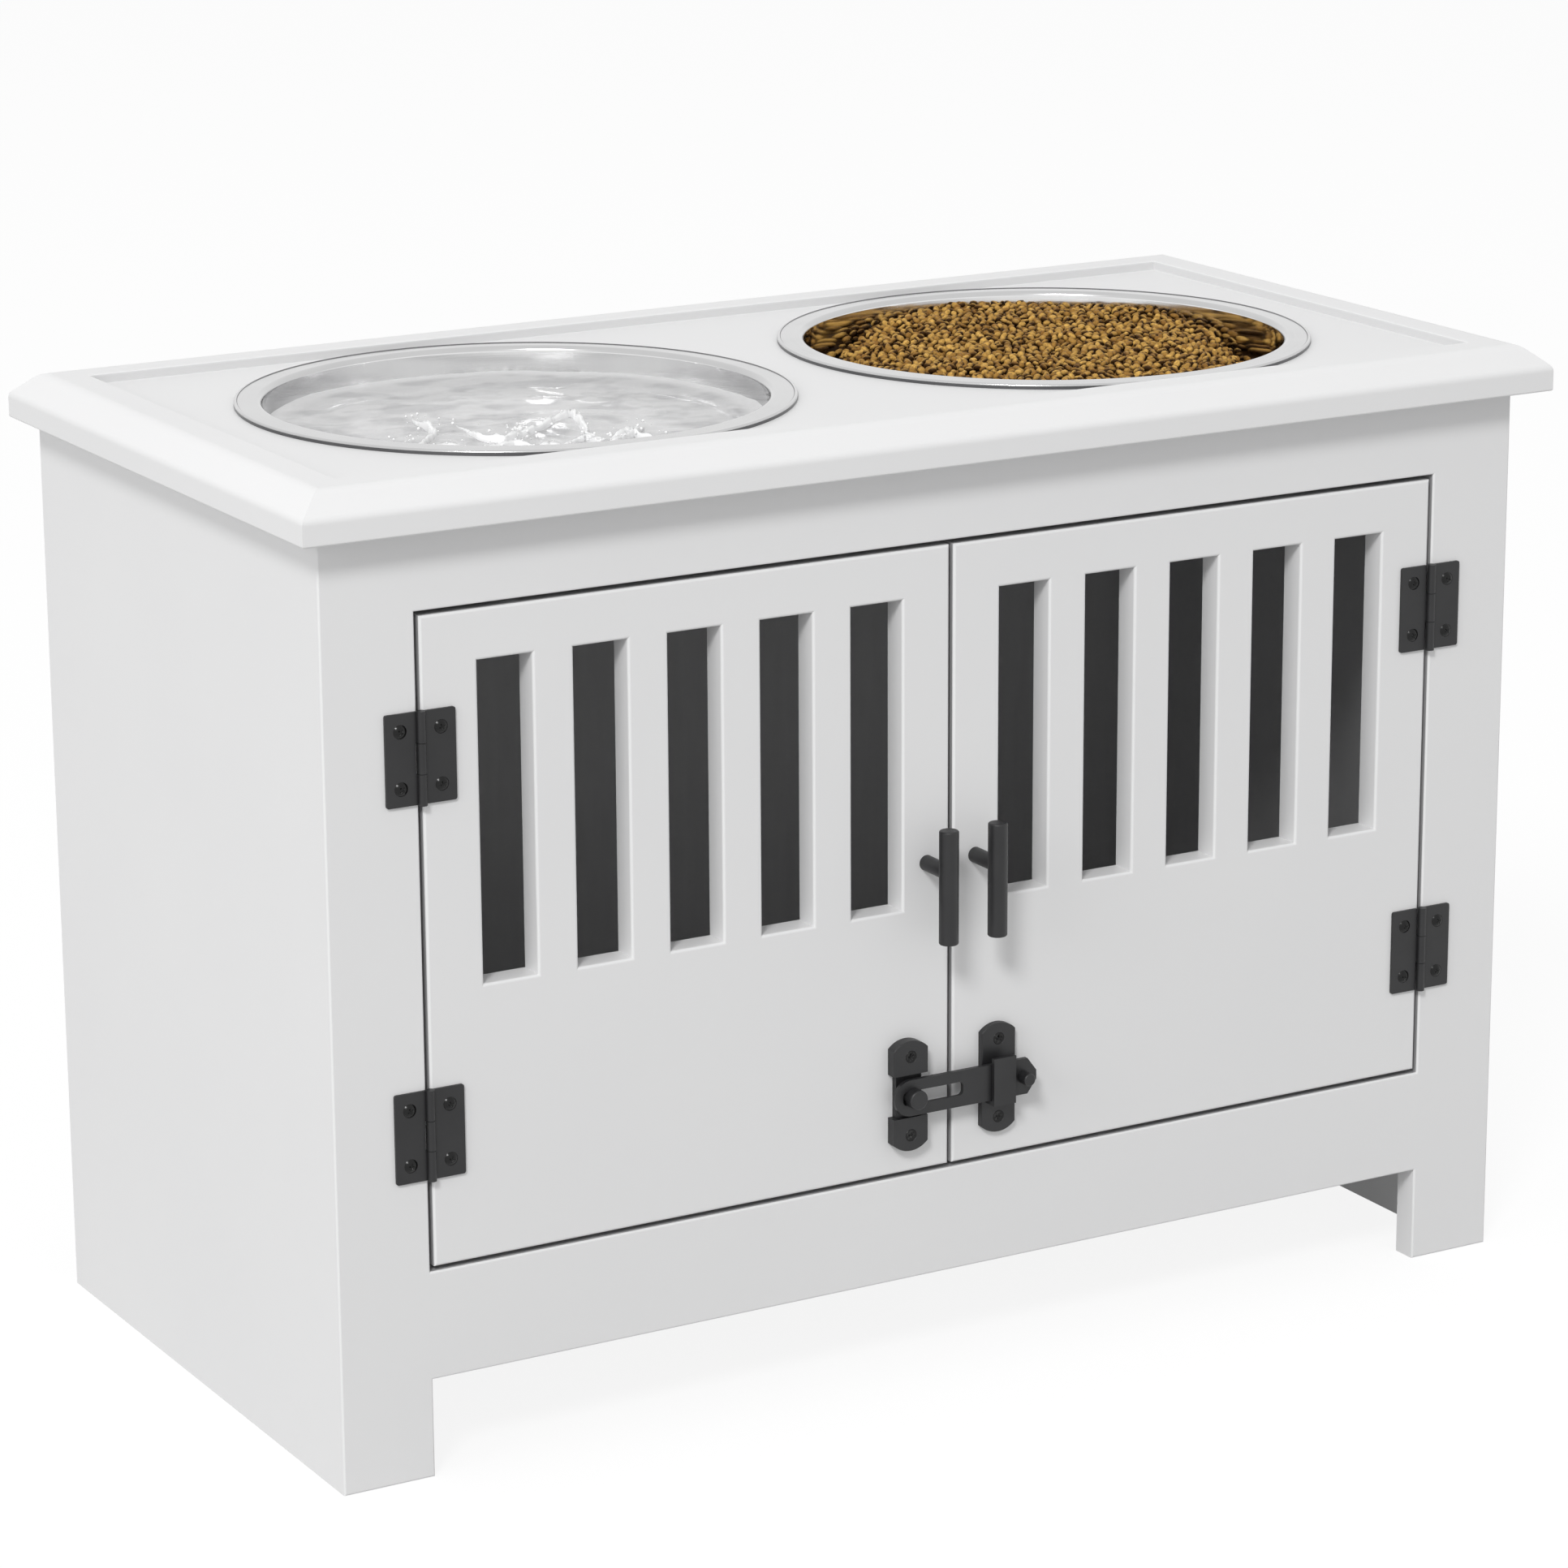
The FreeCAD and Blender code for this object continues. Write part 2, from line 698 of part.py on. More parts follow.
def latchBase():
    """Plate on the left door, cut back and narrowed behind the bar."""
    plate = archedPlate(latchPinX, latchBaseThickness)
    half = latchPlateWidth / 2
    z0 = latchHeight - latchWaistHeight / 2
    z1 = latchHeight + latchWaistHeight / 2
    cuts = [box(latchPinX - half - overrun, latchPinX + half + overrun,
                -latchWaistThickness, -latchBaseThickness - overrun, z0, z1)]
    for way in (-1, 1):
        edge = latchPinX + way * half
        cuts.append(box(edge - way * latchWaistInset, edge + way * overrun, overrun,
                        -latchBaseThickness - overrun, z0, z1))
    cuts.append(rod(latchPinX, overrun, latchHeight, latchPinTailRadius + screwClearance,
                    latchBaseThickness + 2 * overrun, vec(0, -1, 0)))
    cuts += latchScrewHoles(latchPinX, latchBaseThickness)
    return plate.cut(cuts)


def latchPin():
    """Rivet that the bar turns on, with a thick round head."""
    tail = rod(latchPinX, 0, latchHeight, latchPinTailRadius, latchWaistThickness, vec(0, -1, 0))
    shaft = rod(latchPinX, -latchWaistThickness, latchHeight, latchPinRadius,
                latchBarFront + latchPinHeadGap - latchWaistThickness, vec(0, -1, 0))
    head = rod(latchPinX, -latchBarFront - latchPinHeadGap, latchHeight, latchPinHeadRadius,
               latchPinHeadHeight, vec(0, -1, 0))
    rim = [e for e in head.Edges if len(e.Vertexes) == 1
           and e.Vertexes[0].Point.y < -latchBarFront - latchPinHeadGap - latchPinHeadHeight / 2]
    head = head.makeFillet(edgeRound, rim)
    return shaft.fuse([tail, head]).removeSplitter()


def latchBar():
    """Flat slotted bar with a round end at its pin and a pointed end past the catch."""
    half = latchBarHeight / 2
    left = latchPinX - latchBarLeftReach
    shoulder = latchBarTip - latchBarPoint
    round_ = rod(left + half, -latchBarBack, latchHeight, half, latchBarThickness, vec(0, -1, 0))
    points = [vec(left + half, -latchBarBack, latchHeight - half),
              vec(shoulder, -latchBarBack, latchHeight - half),
              vec(latchBarTip, -latchBarBack, latchHeight - latchBarTipHeight / 2),
              vec(latchBarTip, -latchBarBack, latchHeight + latchBarTipHeight / 2),
              vec(shoulder, -latchBarBack, latchHeight + half),
              vec(left + half, -latchBarBack, latchHeight + half)]
    blade = Part.Face(Part.Wire(Part.makePolygon(points + points[:1])))
    bar = blade.extrude(vec(0, -latchBarThickness, 0)).fuse(round_).removeSplitter()
    slotLeft = latchPinX - latchSlotWidth / 2 - latchSlotPlay
    slotRight = slotLeft + latchSlotLength
    low = latchHeight - latchSlotWidth / 2
    high = latchHeight + latchSlotWidth / 2

    def place(point):
        return vec(point.x, 0, point.y)
    outline = roundedFace([(slotLeft, low, latchSlotRound), (slotRight, low, latchSlotRound),
                           (slotRight, high, latchSlotRound), (slotLeft, high, latchSlotRound)], place)
    slot = outline.extrude(vec(0, -latchBarFront - overrun, 0))
    hole = rod(latchKnobX, 0, latchHeight, latchKnobTenonRadius + screwClearance,
               latchBarFront + overrun, vec(0, -1, 0))
    return bar.cut([slot, hole])


def latchKnob():
    """Small round knob riveted into the bar's end."""
    grip = rod(latchKnobX, -latchBarFront, latchHeight, latchKnobRadius, latchKnobHeight,
               vec(0, -1, 0))
    rim = [e for e in grip.Edges if len(e.Vertexes) == 1
           and e.Vertexes[0].Point.y < -latchBarFront - latchKnobHeight / 2]
    grip = grip.makeFillet(edgeRound, rim)
    tenon = rod(latchKnobX, -latchBarBack, latchHeight, latchKnobTenonRadius, latchBarThickness,
                vec(0, -1, 0))
    return grip.fuse(tenon).removeSplitter()


def latchCatch():
    """Plate on the right door with a hook, open at the top, that holds the bar."""
    plate = archedPlate(latchPlateX, catchThickness)
    x0 = latchPlateX - catchLipShift - catchLipWidth / 2
    x1 = x0 + catchLipWidth
    floorTop = latchHeight - latchBarHeight / 2 - catchFloorGap
    floor = box(x0, x1, -catchThickness / 2, -catchLipFront, floorTop - catchLipThickness, floorTop)
    lip = box(x0, x1, -catchLipBack, -catchLipFront, floorTop - catchLipThickness,
              latchHeight + latchBarHeight / 2 + catchLipRise)
    hook = plate.fuse([floor, lip]).removeSplitter()
    return hook.cut(latchScrewHoles(latchPlateX, catchThickness))


def latchScrews(x, thickness):
    return Part.makeCompound([flatScrew(sx, sy, sz, vec(0, 1, 0), screwShankLength)
                              for sx, sy, sz in latchScrewPlaces(x, thickness)])


# Bowls

def bowl(side):
    """Pressed steel bowl whose flat rim rests on the deck."""
    rimTop = deckTop + bowlRimHeight
    bottom = rimTop - bowlDepth

    def place(point):
        return vec(side * bowlSpacing / 2 + point.x, bowlCentreY, point.y)
    wallFoot = bowlFloorRadius
    slope = (bowlMouthRadius - wallFoot) / bowlDepth
    inner = [(0, bottom + bowlWall, 0),
             (wallFoot, bottom + bowlWall, bowlFloorRound),
             (bowlMouthRadius, rimTop, bowlMouthRound),
             (bowlRimRadius, rimTop, bowlRimRound),
             (bowlRimRadius, deckTop, 0),
             (bowlRimRadius - bowlWall, deckTop, 0),
             (bowlRimRadius - bowlWall, rimTop - bowlWall, 0),
             (bowlMouthRadius + bowlWall, rimTop - bowlWall, 0),
             (wallFoot + bowlWall + slope * bowlWall, bottom, bowlFloorRound + bowlWall),
             (0, bottom, 0)]
    section = roundedFace(inner, place)
    centre = vec(side * bowlSpacing / 2, bowlCentreY, 0)
    return section.revolve(centre, vec(0, 0, 1), 360)


def save(node, shape):
    """Centre a finished sub-part on the part's footprint and write it."""
    moved = shape.copy()
    moved.translate(vec(0, -footprintCentre, 0))
    moved.exportStep("parts/" + node + ".step")
    print(node, len(moved.Solids), round(moved.Volume), moved.isValid())


def main():
    os.makedirs("parts", exist_ok=True)
    save("side_panel_left", sidePanel(-1))
    save("side_panel_right", sidePanel(1))
    save("front_frame", frontFrame())
    save("back_panel", backPanel())
    save("bottom_shelf", bottomShelf())
    save("shelf_cleat_left", shelfCleat(-1))
    save("shelf_cleat_right", shelfCleat(1))
    save("door_stop", doorStop())
    save("corner_brackets", cornerBrackets())
    save("bracket_screws", bracketScrews())
    save("cleat_screws", cleatScrews())
    save("frame_dowels", frameDowels())
    save("back_panel_screws", backScrews())
    save("top_panel", topPanel())
    for side in ("front", "back", "left", "right"):
        save("top_moulding_" + side, topMoulding(side))
    for name, side in (("left", -1), ("right", 1)):
        save("door_" + name, door(side))
        for place, middle in zip(("upper", "lower"), hingeHeights):
            hinge = "hinge_" + place + "_" + name
            save(hinge + "_frame_leaf", hingeLeaf(side, middle, False))
            save(hinge + "_door_leaf", hingeLeaf(side, middle, True))
            save(hinge + "_pin", hingePin(side, middle))
        save("hinge_screws_door_" + name, Part.makeCompound(hingeScrews(side, True)))
        save("handle_post_" + name, handlePost(side))
        save("handle_bar_" + name, handleBar(side))
        save("handle_screw_" + name, handleScrew(side))
        save("bowl_" + name, bowl(side))
    save("hinge_screws_frame", Part.makeCompound(hingeScrews(-1, False) + hingeScrews(1, False)))
    save("latch_base", latchBase())
    save("latch_pin", latchPin())
    save("latch_bar", latchBar())
    save("latch_knob", latchKnob())
    save("latch_catch", latchCatch())
    save("latch_base_screws", latchScrews(latchPinX, latchBaseThickness))
    save("latch_catch_screws", latchScrews(latchPlateX, catchThickness))


main()
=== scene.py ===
import bpy
import bmesh
import json
import math
from mathutils import Euler, Matrix, Vector, noise


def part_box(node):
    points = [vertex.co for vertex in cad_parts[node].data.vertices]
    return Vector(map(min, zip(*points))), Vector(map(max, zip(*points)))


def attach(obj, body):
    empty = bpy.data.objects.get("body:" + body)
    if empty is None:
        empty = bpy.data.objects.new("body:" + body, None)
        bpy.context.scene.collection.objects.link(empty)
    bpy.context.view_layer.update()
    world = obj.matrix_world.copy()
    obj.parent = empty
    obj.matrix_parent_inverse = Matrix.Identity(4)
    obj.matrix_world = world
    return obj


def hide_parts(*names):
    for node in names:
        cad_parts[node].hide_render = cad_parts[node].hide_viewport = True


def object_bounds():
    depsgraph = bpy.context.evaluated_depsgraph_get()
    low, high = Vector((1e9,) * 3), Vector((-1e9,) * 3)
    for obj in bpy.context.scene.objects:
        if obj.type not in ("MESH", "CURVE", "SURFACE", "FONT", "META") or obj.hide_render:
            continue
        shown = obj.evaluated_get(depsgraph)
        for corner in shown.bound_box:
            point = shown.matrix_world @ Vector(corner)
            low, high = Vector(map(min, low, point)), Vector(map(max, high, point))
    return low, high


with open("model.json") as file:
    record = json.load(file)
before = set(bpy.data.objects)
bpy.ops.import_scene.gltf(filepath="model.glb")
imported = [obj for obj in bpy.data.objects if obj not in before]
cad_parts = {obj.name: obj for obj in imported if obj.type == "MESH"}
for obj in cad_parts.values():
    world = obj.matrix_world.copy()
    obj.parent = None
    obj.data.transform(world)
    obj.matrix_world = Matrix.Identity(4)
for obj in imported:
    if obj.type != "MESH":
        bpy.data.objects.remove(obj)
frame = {"nodes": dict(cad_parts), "record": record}
cadLow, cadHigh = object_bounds()
print("frame loaded,", len(frame["nodes"]), "solid nodes")

mm = 0.001
nodes = frame["nodes"]
slotOf = {part["node"]: part["material_slot"] for part in frame["record"]["subparts"]}


# Camera at the photograph's viewing angle
cameraView = {
    "place": (-1.1077, -1.9245, 0.8406),
    "aim": (-0.0051, 0.0, 0.2286),
    "roll": -0.33,            # degrees about the line of sight
    "lens": 119.7,
    "sensor": 36.0,
}


def addObject(name, data):
    added = bpy.data.objects.new(name, data)
    bpy.context.scene.collection.objects.link(added)
    return added


def makeCamera(view):
    data = bpy.data.cameras.new("camera")
    data.lens = view["lens"]
    data.sensor_width = view["sensor"]
    camera = addObject("camera", data)
    sight = Vector(view["aim"]) - Vector(view["place"])
    turn = sight.to_track_quat("-Z", "Y").to_matrix().to_4x4()
    camera.rotation_euler = (turn @ Euler((0, 0, math.radians(view["roll"]))).to_matrix().to_4x4()).to_euler()
    camera.location = view["place"]
    bpy.context.scene.camera = camera


# Add a node, set its properties, then fill its inputs from numbers or from other sockets
def addNode(tree, kind, values=None, **settings):
    node = tree.nodes.new(kind)
    for name, value in settings.items():
        setattr(node, name, value)
    for name, value in (values or {}).items():
        if isinstance(value, bpy.types.NodeSocket):
            tree.links.new(value, node.inputs[name])
        else:
            node.inputs[name].default_value = value
    return node


# Start a node material; the values go straight onto the Principled shader's own sockets
def newMaterial(name, values=None):
    material = bpy.data.materials.new(name)
    material.use_nodes = True
    shader = material.node_tree.nodes["Principled BSDF"]
    for socket, value in (values or {}).items():
        shader.inputs[socket].default_value = value
    return material, material.node_tree, shader


# A grey, neutral where its blue isn't given
def grey(level, blue=None):
    return (level, level, level if blue is None else blue, 1.0)


def objectPlace(tree):
    return addNode(tree, "ShaderNodeTexCoord").outputs["Object"]


def splitVector(tree, vector):
    return addNode(tree, "ShaderNodeSeparateXYZ", {"Vector": vector}).outputs


def joinVector(tree, x, y, z=0.0):
    return addNode(tree, "ShaderNodeCombineXYZ", {"X": x, "Y": y, "Z": z}).outputs["Vector"]


def stretchPlace(tree, place, scale):
    return addNode(tree, "ShaderNodeMapping", {"Vector": place, "Scale": scale}).outputs["Vector"]


# Noise on Object coordinates, or on any other place that is given
def softNoise(tree, scale, detail=2.0, place=None):
    if place is None:
        place = objectPlace(tree)
    values = {"Vector": place, "Scale": scale, "Detail": detail}
    return addNode(tree, "ShaderNodeTexNoise", values).outputs["Fac"]


def mixColours(tree, share, first, second):
    return addNode(tree, "ShaderNodeMix", {0: share, 6: first, 7: second}, data_type="RGBA").outputs[2]


# Map a value that runs from lowest to highest onto the range from low to high
def spread(tree, value, low, high, lowest=0.0, highest=1.0):
    return addNode(tree, "ShaderNodeMapRange", {"Value": value, "From Min": lowest, "From Max": highest,
                                                "To Min": low, "To Max": high}).outputs["Result"]


def calculate(tree, operation, first, second=0.0):
    return addNode(tree, "ShaderNodeMath", {0: first, 1: second}, operation=operation).outputs[0]


def calculateVector(tree, operation, first, second):
    return addNode(tree, "ShaderNodeVectorMath", {0: first, 1: second}, operation=operation).outputs["Vector"]


# Give a shader its colour, and its roughness where that varies too
def coatWith(tree, shader, colour, rough=None):
    tree.links.new(colour, shader.inputs["Base Color"])
    if rough is not None:
        tree.links.new(rough, shader.inputs["Roughness"])


def addBump(tree, shader, height, strength, distance):
    bump = addNode(tree, "ShaderNodeBump", {"Height": height, "Strength": strength, "Distance": distance})
    tree.links.new(bump.outputs["Normal"], shader.inputs["Normal"])


# White satin paint, with painted shade in grey on the faces inside the closed compartment, in the joints
# round the doors and on the upright lips round the deck, where shade falls
paint = {
    "shader": {"Specular IOR Level": 0.4},
    "white": grey(0.86),
    "cloud": grey(0.835, 0.84),
    "cloudScale": 9.0,
    "rough": (0.40, 0.50),
    "peelScale": 650.0,
    "peelStrength": 0.10,
    "peelDepth": 0.2 * mm,
    # painted shade on the faces inside the closed compartment
    "insideShade": (grey(0.60, 0.605), grey(0.57, 0.58)),
    "insideShadeReach": 0.4 * mm,     # how far the painted shade's region runs past the boards' inner faces
    # painted shade in the narrow joints round and between the doors
    "joint": (grey(0.45, 0.455), grey(0.45, 0.455)),
    "jointReach": 3.0 * mm,      # how far the joints' region runs out past the doors
    "jointStart": 0.9 * mm,      # the boards' rounded front edges stay white in front of it
    "jointSkin": 0.1 * mm,       # depth of the doors' own upright edges that takes the painted shade
    # painted shade on the mouldings' upright lips round the deck
    "lip": (grey(0.71), grey(0.69, 0.695)),
    "lipReach": 0.3 * mm,        # how far into the mouldings the lip's region runs
}


# One inside a box as far as the given axes tell, and zero outside it, on Object coordinates
def insideBox(tree, low, high, axes="XYZ"):
    place = splitVector(tree, objectPlace(tree))
    mask = None
    for axis in axes:
        least, most = low["XYZ".index(axis)], high["XYZ".index(axis)]
        half = calculate(tree, "ABSOLUTE", calculate(tree, "SUBTRACT", place[axis], (least + most) / 2))
        test = calculate(tree, "LESS_THAN", half, (most - least) / 2)
        mask = test if mask is None else calculate(tree, "MULTIPLY", mask, test)
    return mask


# One inside the storage compartment, where the painted shade goes
def insideShadeMask(tree):
    left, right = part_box("side_panel_left")[1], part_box("side_panel_right")
    low = Vector((left.x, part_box("front_frame")[1].y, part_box("bottom_shelf")[1].z))
    high = Vector((right[0].x, right[1].y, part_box("top_panel")[0].z))
    reach = Vector((1, 1, 1)) * paint["insideShadeReach"]
    return insideBox(tree, low - reach, high + reach)


# One on the boards' faces that stand in the narrow joints round and between the doors, where the painted
# shade goes
def jointMask(tree):
    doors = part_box("door_left"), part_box("door_right")
    out = Vector((1, 1, 1)) * paint["jointReach"]
    low, high = doors[0][0] - out, doors[1][1] + out
    low.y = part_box("front_frame")[0].y + paint["jointStart"]
    mask = insideBox(tree, low, high)
    skinDepth = Vector((1, 0, 1)) * paint["jointSkin"]
    for low, high in doors:
        within = insideBox(tree, low + skinDepth, high - skinDepth, "XZ")
        mask = calculate(tree, "MULTIPLY", mask, calculate(tree, "SUBTRACT", 1.0, within))
    return mask


# One on the mouldings' upright faces round the recessed deck, where the painted shade goes
def lipMask(tree):
    reach = Vector((1, 1, -1)) * paint["lipReach"]
    low = Vector((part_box("top_moulding_left")[1].x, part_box("top_moulding_front")[1].y, 0))
    high = Vector((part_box("top_moulding_right")[0].x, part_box("top_moulding_back")[0].y,
                   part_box("top_moulding_back")[1].z))
    return insideBox(tree, low - reach, high + reach)


paintMasks = {"insideShade": insideShadeMask, "joint": jointMask, "lip": lipMask}


def paintMaterial(name, *shades):
    material, tree, shader = newMaterial(name, paint["shader"])
    clouds = softNoise(tree, paint["cloudScale"], 3.0)
    colour = mixColours(tree, clouds, paint["white"], paint["cloud"])
    # each painted shade greys the white where its mask is one
    for shade in shades:
        dark = mixColours(tree, clouds, *paint[shade])
        colour = mixColours(tree, paintMasks[shade](tree), colour, dark)
    coatWith(tree, shader, colour, spread(tree, clouds, *paint["rough"]))
    peel = softNoise(tree, paint["peelScale"])
    addBump(tree, shader, peel, paint["peelStrength"], paint["peelDepth"])
    return material


# Back panel in a mid grey that is painted shade, for the dark inside the closed compartment, with upright
# grain
backBoard = {
    "shader": {"Roughness": 0.62, "Specular IOR Level": 0.3},
    "greys": (grey(0.53, 0.535), grey(0.60, 0.605)),
    "grainScale": 180.0,
    "grainStretch": (1.0, 1.0, 0.12),
    "grainStrength": 0.15,
    "grainDepth": 0.2 * mm,
}


def backBoardMaterial():
    material, tree, shader = newMaterial("darkBoard", backBoard["shader"])
    place = stretchPlace(tree, objectPlace(tree), backBoard["grainStretch"])
    grain = softNoise(tree, backBoard["grainScale"], 4.0, place)
    coatWith(tree, shader, mixColours(tree, grain, *backBoard["greys"]))
    addBump(tree, shader, grain, backBoard["grainStrength"], backBoard["grainDepth"])
    return material


# Black powder coat on the hinges, handles and latch
powderCoat = {
    "shader": {"Specular IOR Level": 0.5},
    "blacks": (grey(0.013, 0.014), grey(0.019, 0.020)),   # fresh and worn
    "rough": (0.36, 0.50),
    "grainScale": 1500.0,
    "patchScale": 60.0,
    "patchRange": (0.35, 0.75),   # of the noise, from fresh to worn
    "grainStrength": 0.20,
    "grainDepth": 0.05 * mm,
}


def powderCoatMaterial():
    material, tree, shader = newMaterial("blackMetal", powderCoat["shader"])
    patches = softNoise(tree, powderCoat["patchScale"], 3.0)
    grain = softNoise(tree, powderCoat["grainScale"])
    worn = spread(tree, patches, 0.0, 1.0, *powderCoat["patchRange"])
    coatWith(tree, shader, mixColours(tree, worn, *powderCoat["blacks"]),
             spread(tree, grain, *powderCoat["rough"]))
    addBump(tree, shader, grain, powderCoat["grainStrength"], powderCoat["grainDepth"])
    return material


# Black screws, glossier than the coat around them, and zinc plated ones at the back
screwMetal = {
    "black": (grey(0.004), grey(0.003)),
    "blackRough": (0.20, 0.28),
    "blackShader": {"Metallic": 0.0, "Specular IOR Level": 0.3},
    "zinc": ((0.62, 0.63, 0.66, 1.0), (0.47, 0.48, 0.50, 1.0)),
    "zincRough": (0.24, 0.36),
    "zincShader": {"Metallic": 1.0},
    "markScale": 900.0,
    "markStrength": 0.1,
    "markDepth": 0.03 * mm,
}


def screwMaterial(finish):
    material, tree, shader = newMaterial(finish + "Screw", screwMetal[finish + "Shader"])
    marks = softNoise(tree, screwMetal["markScale"], 3.0)
    coatWith(tree, shader, mixColours(tree, marks, *screwMetal[finish]),
             spread(tree, marks, *screwMetal[finish + "Rough"]))
    addBump(tree, shader, marks, screwMetal["markStrength"], screwMetal["markDepth"])
    return material


# Spun stainless steel, bright inside the bowls and satin on their rims: the fine turning marks
# follow the bowl's own UV map
steel = {
    "inside": (grey(0.80), grey(0.72, 0.725)),  # bright and dull steel
    "insideRough": (0.05, 0.12),
    "rim": (grey(0.61), grey(0.54, 0.545)),
    "rimRough": (0.14, 0.24),
    "shade": grey(0.39, 0.395),         # painted reflection of the room, darker on the wall's left and right
    "shadePower": 6.0,
    "shadeDepth": 16.0 * mm,            # how far down the wall the painted reflection goes
    # painted reflection and shade at the rim's rolled edge, its bead's inner slope and its joint with the
    # deck
    "edge": (grey(0.17, 0.175), grey(0.102, 0.105)),
    "edgeRough": (0.25, 0.40),
    "smearScale": 35.0,
    "smearRange": (0.1, 0.5),           # of marks times smears, from smooth to rough
    "markScale": (3.0, 2400.0, 1.0),    # marks per turn, and per metre along the profile
    "markStrength": 0.06,
    "markDepth": 0.02 * mm,
}
viewAcross = Vector((0.868, -0.497))    # along the bowls from left to right as the camera sees it


# One at the bowl's left and right as the camera sees it, and soon nothing beside them: where the painted
# reflection goes
def paintedReflectionMask(tree, turning):
    around = splitVector(tree, turning)["X"]
    start = math.atan2(viewAcross.y, viewAcross.x) / (2 * math.pi)
    angle = calculate(tree, "MULTIPLY", calculate(tree, "SUBTRACT", around, start), 2 * math.pi)
    return calculate(tree, "POWER", calculate(tree, "ABSOLUTE", calculate(tree, "COSINE", angle)),
                     steel["shadePower"])


def steelMaterial(name, colours, rough, paintedReflection=False):
    material, tree, shader = newMaterial(name, {"Metallic": 1.0})
    turning = addNode(tree, "ShaderNodeUVMap", uv_map="turning").outputs["UV"]
    marks = softNoise(tree, 1.0, 2.0, stretchPlace(tree, turning, steel["markScale"]))
    smears = softNoise(tree, steel["smearScale"], 3.0)
    colour = mixColours(tree, smears, *colours)
    if paintedReflection:                     # painted reflection, only where the wall is seen directly, not in its own reflections
        seen = addNode(tree, "ShaderNodeLightPath").outputs["Is Camera Ray"]
        shade = calculate(tree, "MULTIPLY", paintedReflectionMask(tree, turning), seen)
        colour = mixColours(tree, shade, colour, steel["shade"])
    both = calculate(tree, "MULTIPLY", marks, smears)
    coatWith(tree, shader, colour, spread(tree, both, *rough, *steel["smearRange"]))
    addBump(tree, shader, marks, steel["markStrength"], steel["markDepth"])
    return material


# Painted reflection and shade: dark steel at the rim's rolled edge, on the inner slope of its bead and in the
# joint with the deck
def rimEdgeMaterial():
    material, tree, shader = newMaterial("rimEdge", {"Metallic": 1.0})
    smears = softNoise(tree, steel["smearScale"], 3.0)
    coatWith(tree, shader, mixColours(tree, smears, *steel["edge"]),
             spread(tree, smears, *steel["edgeRough"]))
    return material


# Zinc plate on the hidden brackets and screws
zinc = {
    "shader": {"Metallic": 0.9},
    "greys": ((0.60, 0.61, 0.63, 1.0), (0.50, 0.52, 0.56, 1.0)),
    "rough": (0.30, 0.42),
    "spangleScale": 260.0,
}


def zincMaterial():
    material, tree, shader = newMaterial("zincSteel", zinc["shader"])
    spangle = softNoise(tree, zinc["spangleScale"])
    coatWith(tree, shader, mixColours(tree, spangle, *zinc["greys"]), spread(tree, spangle, *zinc["rough"]))
    return material


# Beech dowels
dowel = {
    "shader": {"Roughness": 0.7},
    "browns": ((0.74, 0.56, 0.36, 1.0), (0.60, 0.42, 0.25, 1.0)),
    "grainScale": 900.0,
    "grainStretch": (1.0, 0.08, 1.0),
}


def dowelMaterial():
    material, tree, shader = newMaterial("dowelWood", dowel["shader"])
    place = stretchPlace(tree, objectPlace(tree), dowel["grainStretch"])
    grain = softNoise(tree, dowel["grainScale"], 4.0, place)
    coatWith(tree, shader, mixColours(tree, grain, *dowel["browns"]))
    return material


slotMaterials = {
    "white_board": paintMaterial("whitePaint"),
    "lined_board": paintMaterial("whitePaintLined", "insideShade"),
    "frame_board": paintMaterial("whitePaintFrame", "insideShade", "joint"),
    "door_board": paintMaterial("whitePaintDoor", "joint"),
    "lipped_board": paintMaterial("whitePaintLipped", "lip"),
    "dark_board": backBoardMaterial(),
    "black_metal": powderCoatMaterial(),
    "bowl_steel": steelMaterial("bowlSteel", steel["inside"], steel["insideRough"]),
    "zinc_steel": zincMaterial(),
    "dowel_wood": dowelMaterial(),
}
rimSteel = steelMaterial("rimSteel", steel["rim"], steel["rimRough"])
rimEdge = rimEdgeMaterial()
# the wall of the water bowl, with the painted reflection at its left and right
wallSteel = steelMaterial("wallSteel", steel["inside"], steel["insideRough"], True)
screwBlack = screwMaterial("black")
screwZinc = screwMaterial("zinc")
paintedBoards = {        # which white boards have which painted shades; lined_board takes the painted shade inside the compartment
    "lined_board": ("side_panel_left", "side_panel_right", "bottom_shelf", "top_panel", "door_stop"),
    "frame_board": ("front_frame",),
    "door_board": ("door_left", "door_right"),
    "lipped_board": ("top_moulding_front", "top_moulding_back", "top_moulding_left", "top_moulding_right"),
}
boardPaint = {board: paintName for paintName, boards in paintedBoards.items() for board in boards}
for name, solid in nodes.items():
    solid.data.materials.clear()
    solid.data.materials.append(slotMaterials[boardPaint.get(name, slotOf[name])])
print("materials ready")


# Points of a path whose corners, each (across, up, radius), are rounded with arcs
def roundedPath(corners, steps):
    points = []
    for i, (across, up, radius) in enumerate(corners):
        here = Vector((across, up))
        if radius == 0:
            points.append(here)
            continue
        before = (Vector(corners[i - 1][:2]) - here).normalized()
        after = (Vector(corners[i + 1][:2]) - here).normalized()
        half = before.angle(after) / 2
        reach = radius / math.tan(half)
        centre = here + (before + after).normalized() * (radius / math.sin(half))
        start = here + before * reach - centre
        turn = start.angle_signed(here + after * reach - centre)
        for k in range(steps + 1):
            angle = -turn * k / steps
            points.append(centre + Vector((start.x * math.cos(angle) - start.y * math.sin(angle),
                                           start.x * math.sin(angle) + start.y * math.cos(angle))))
    return points


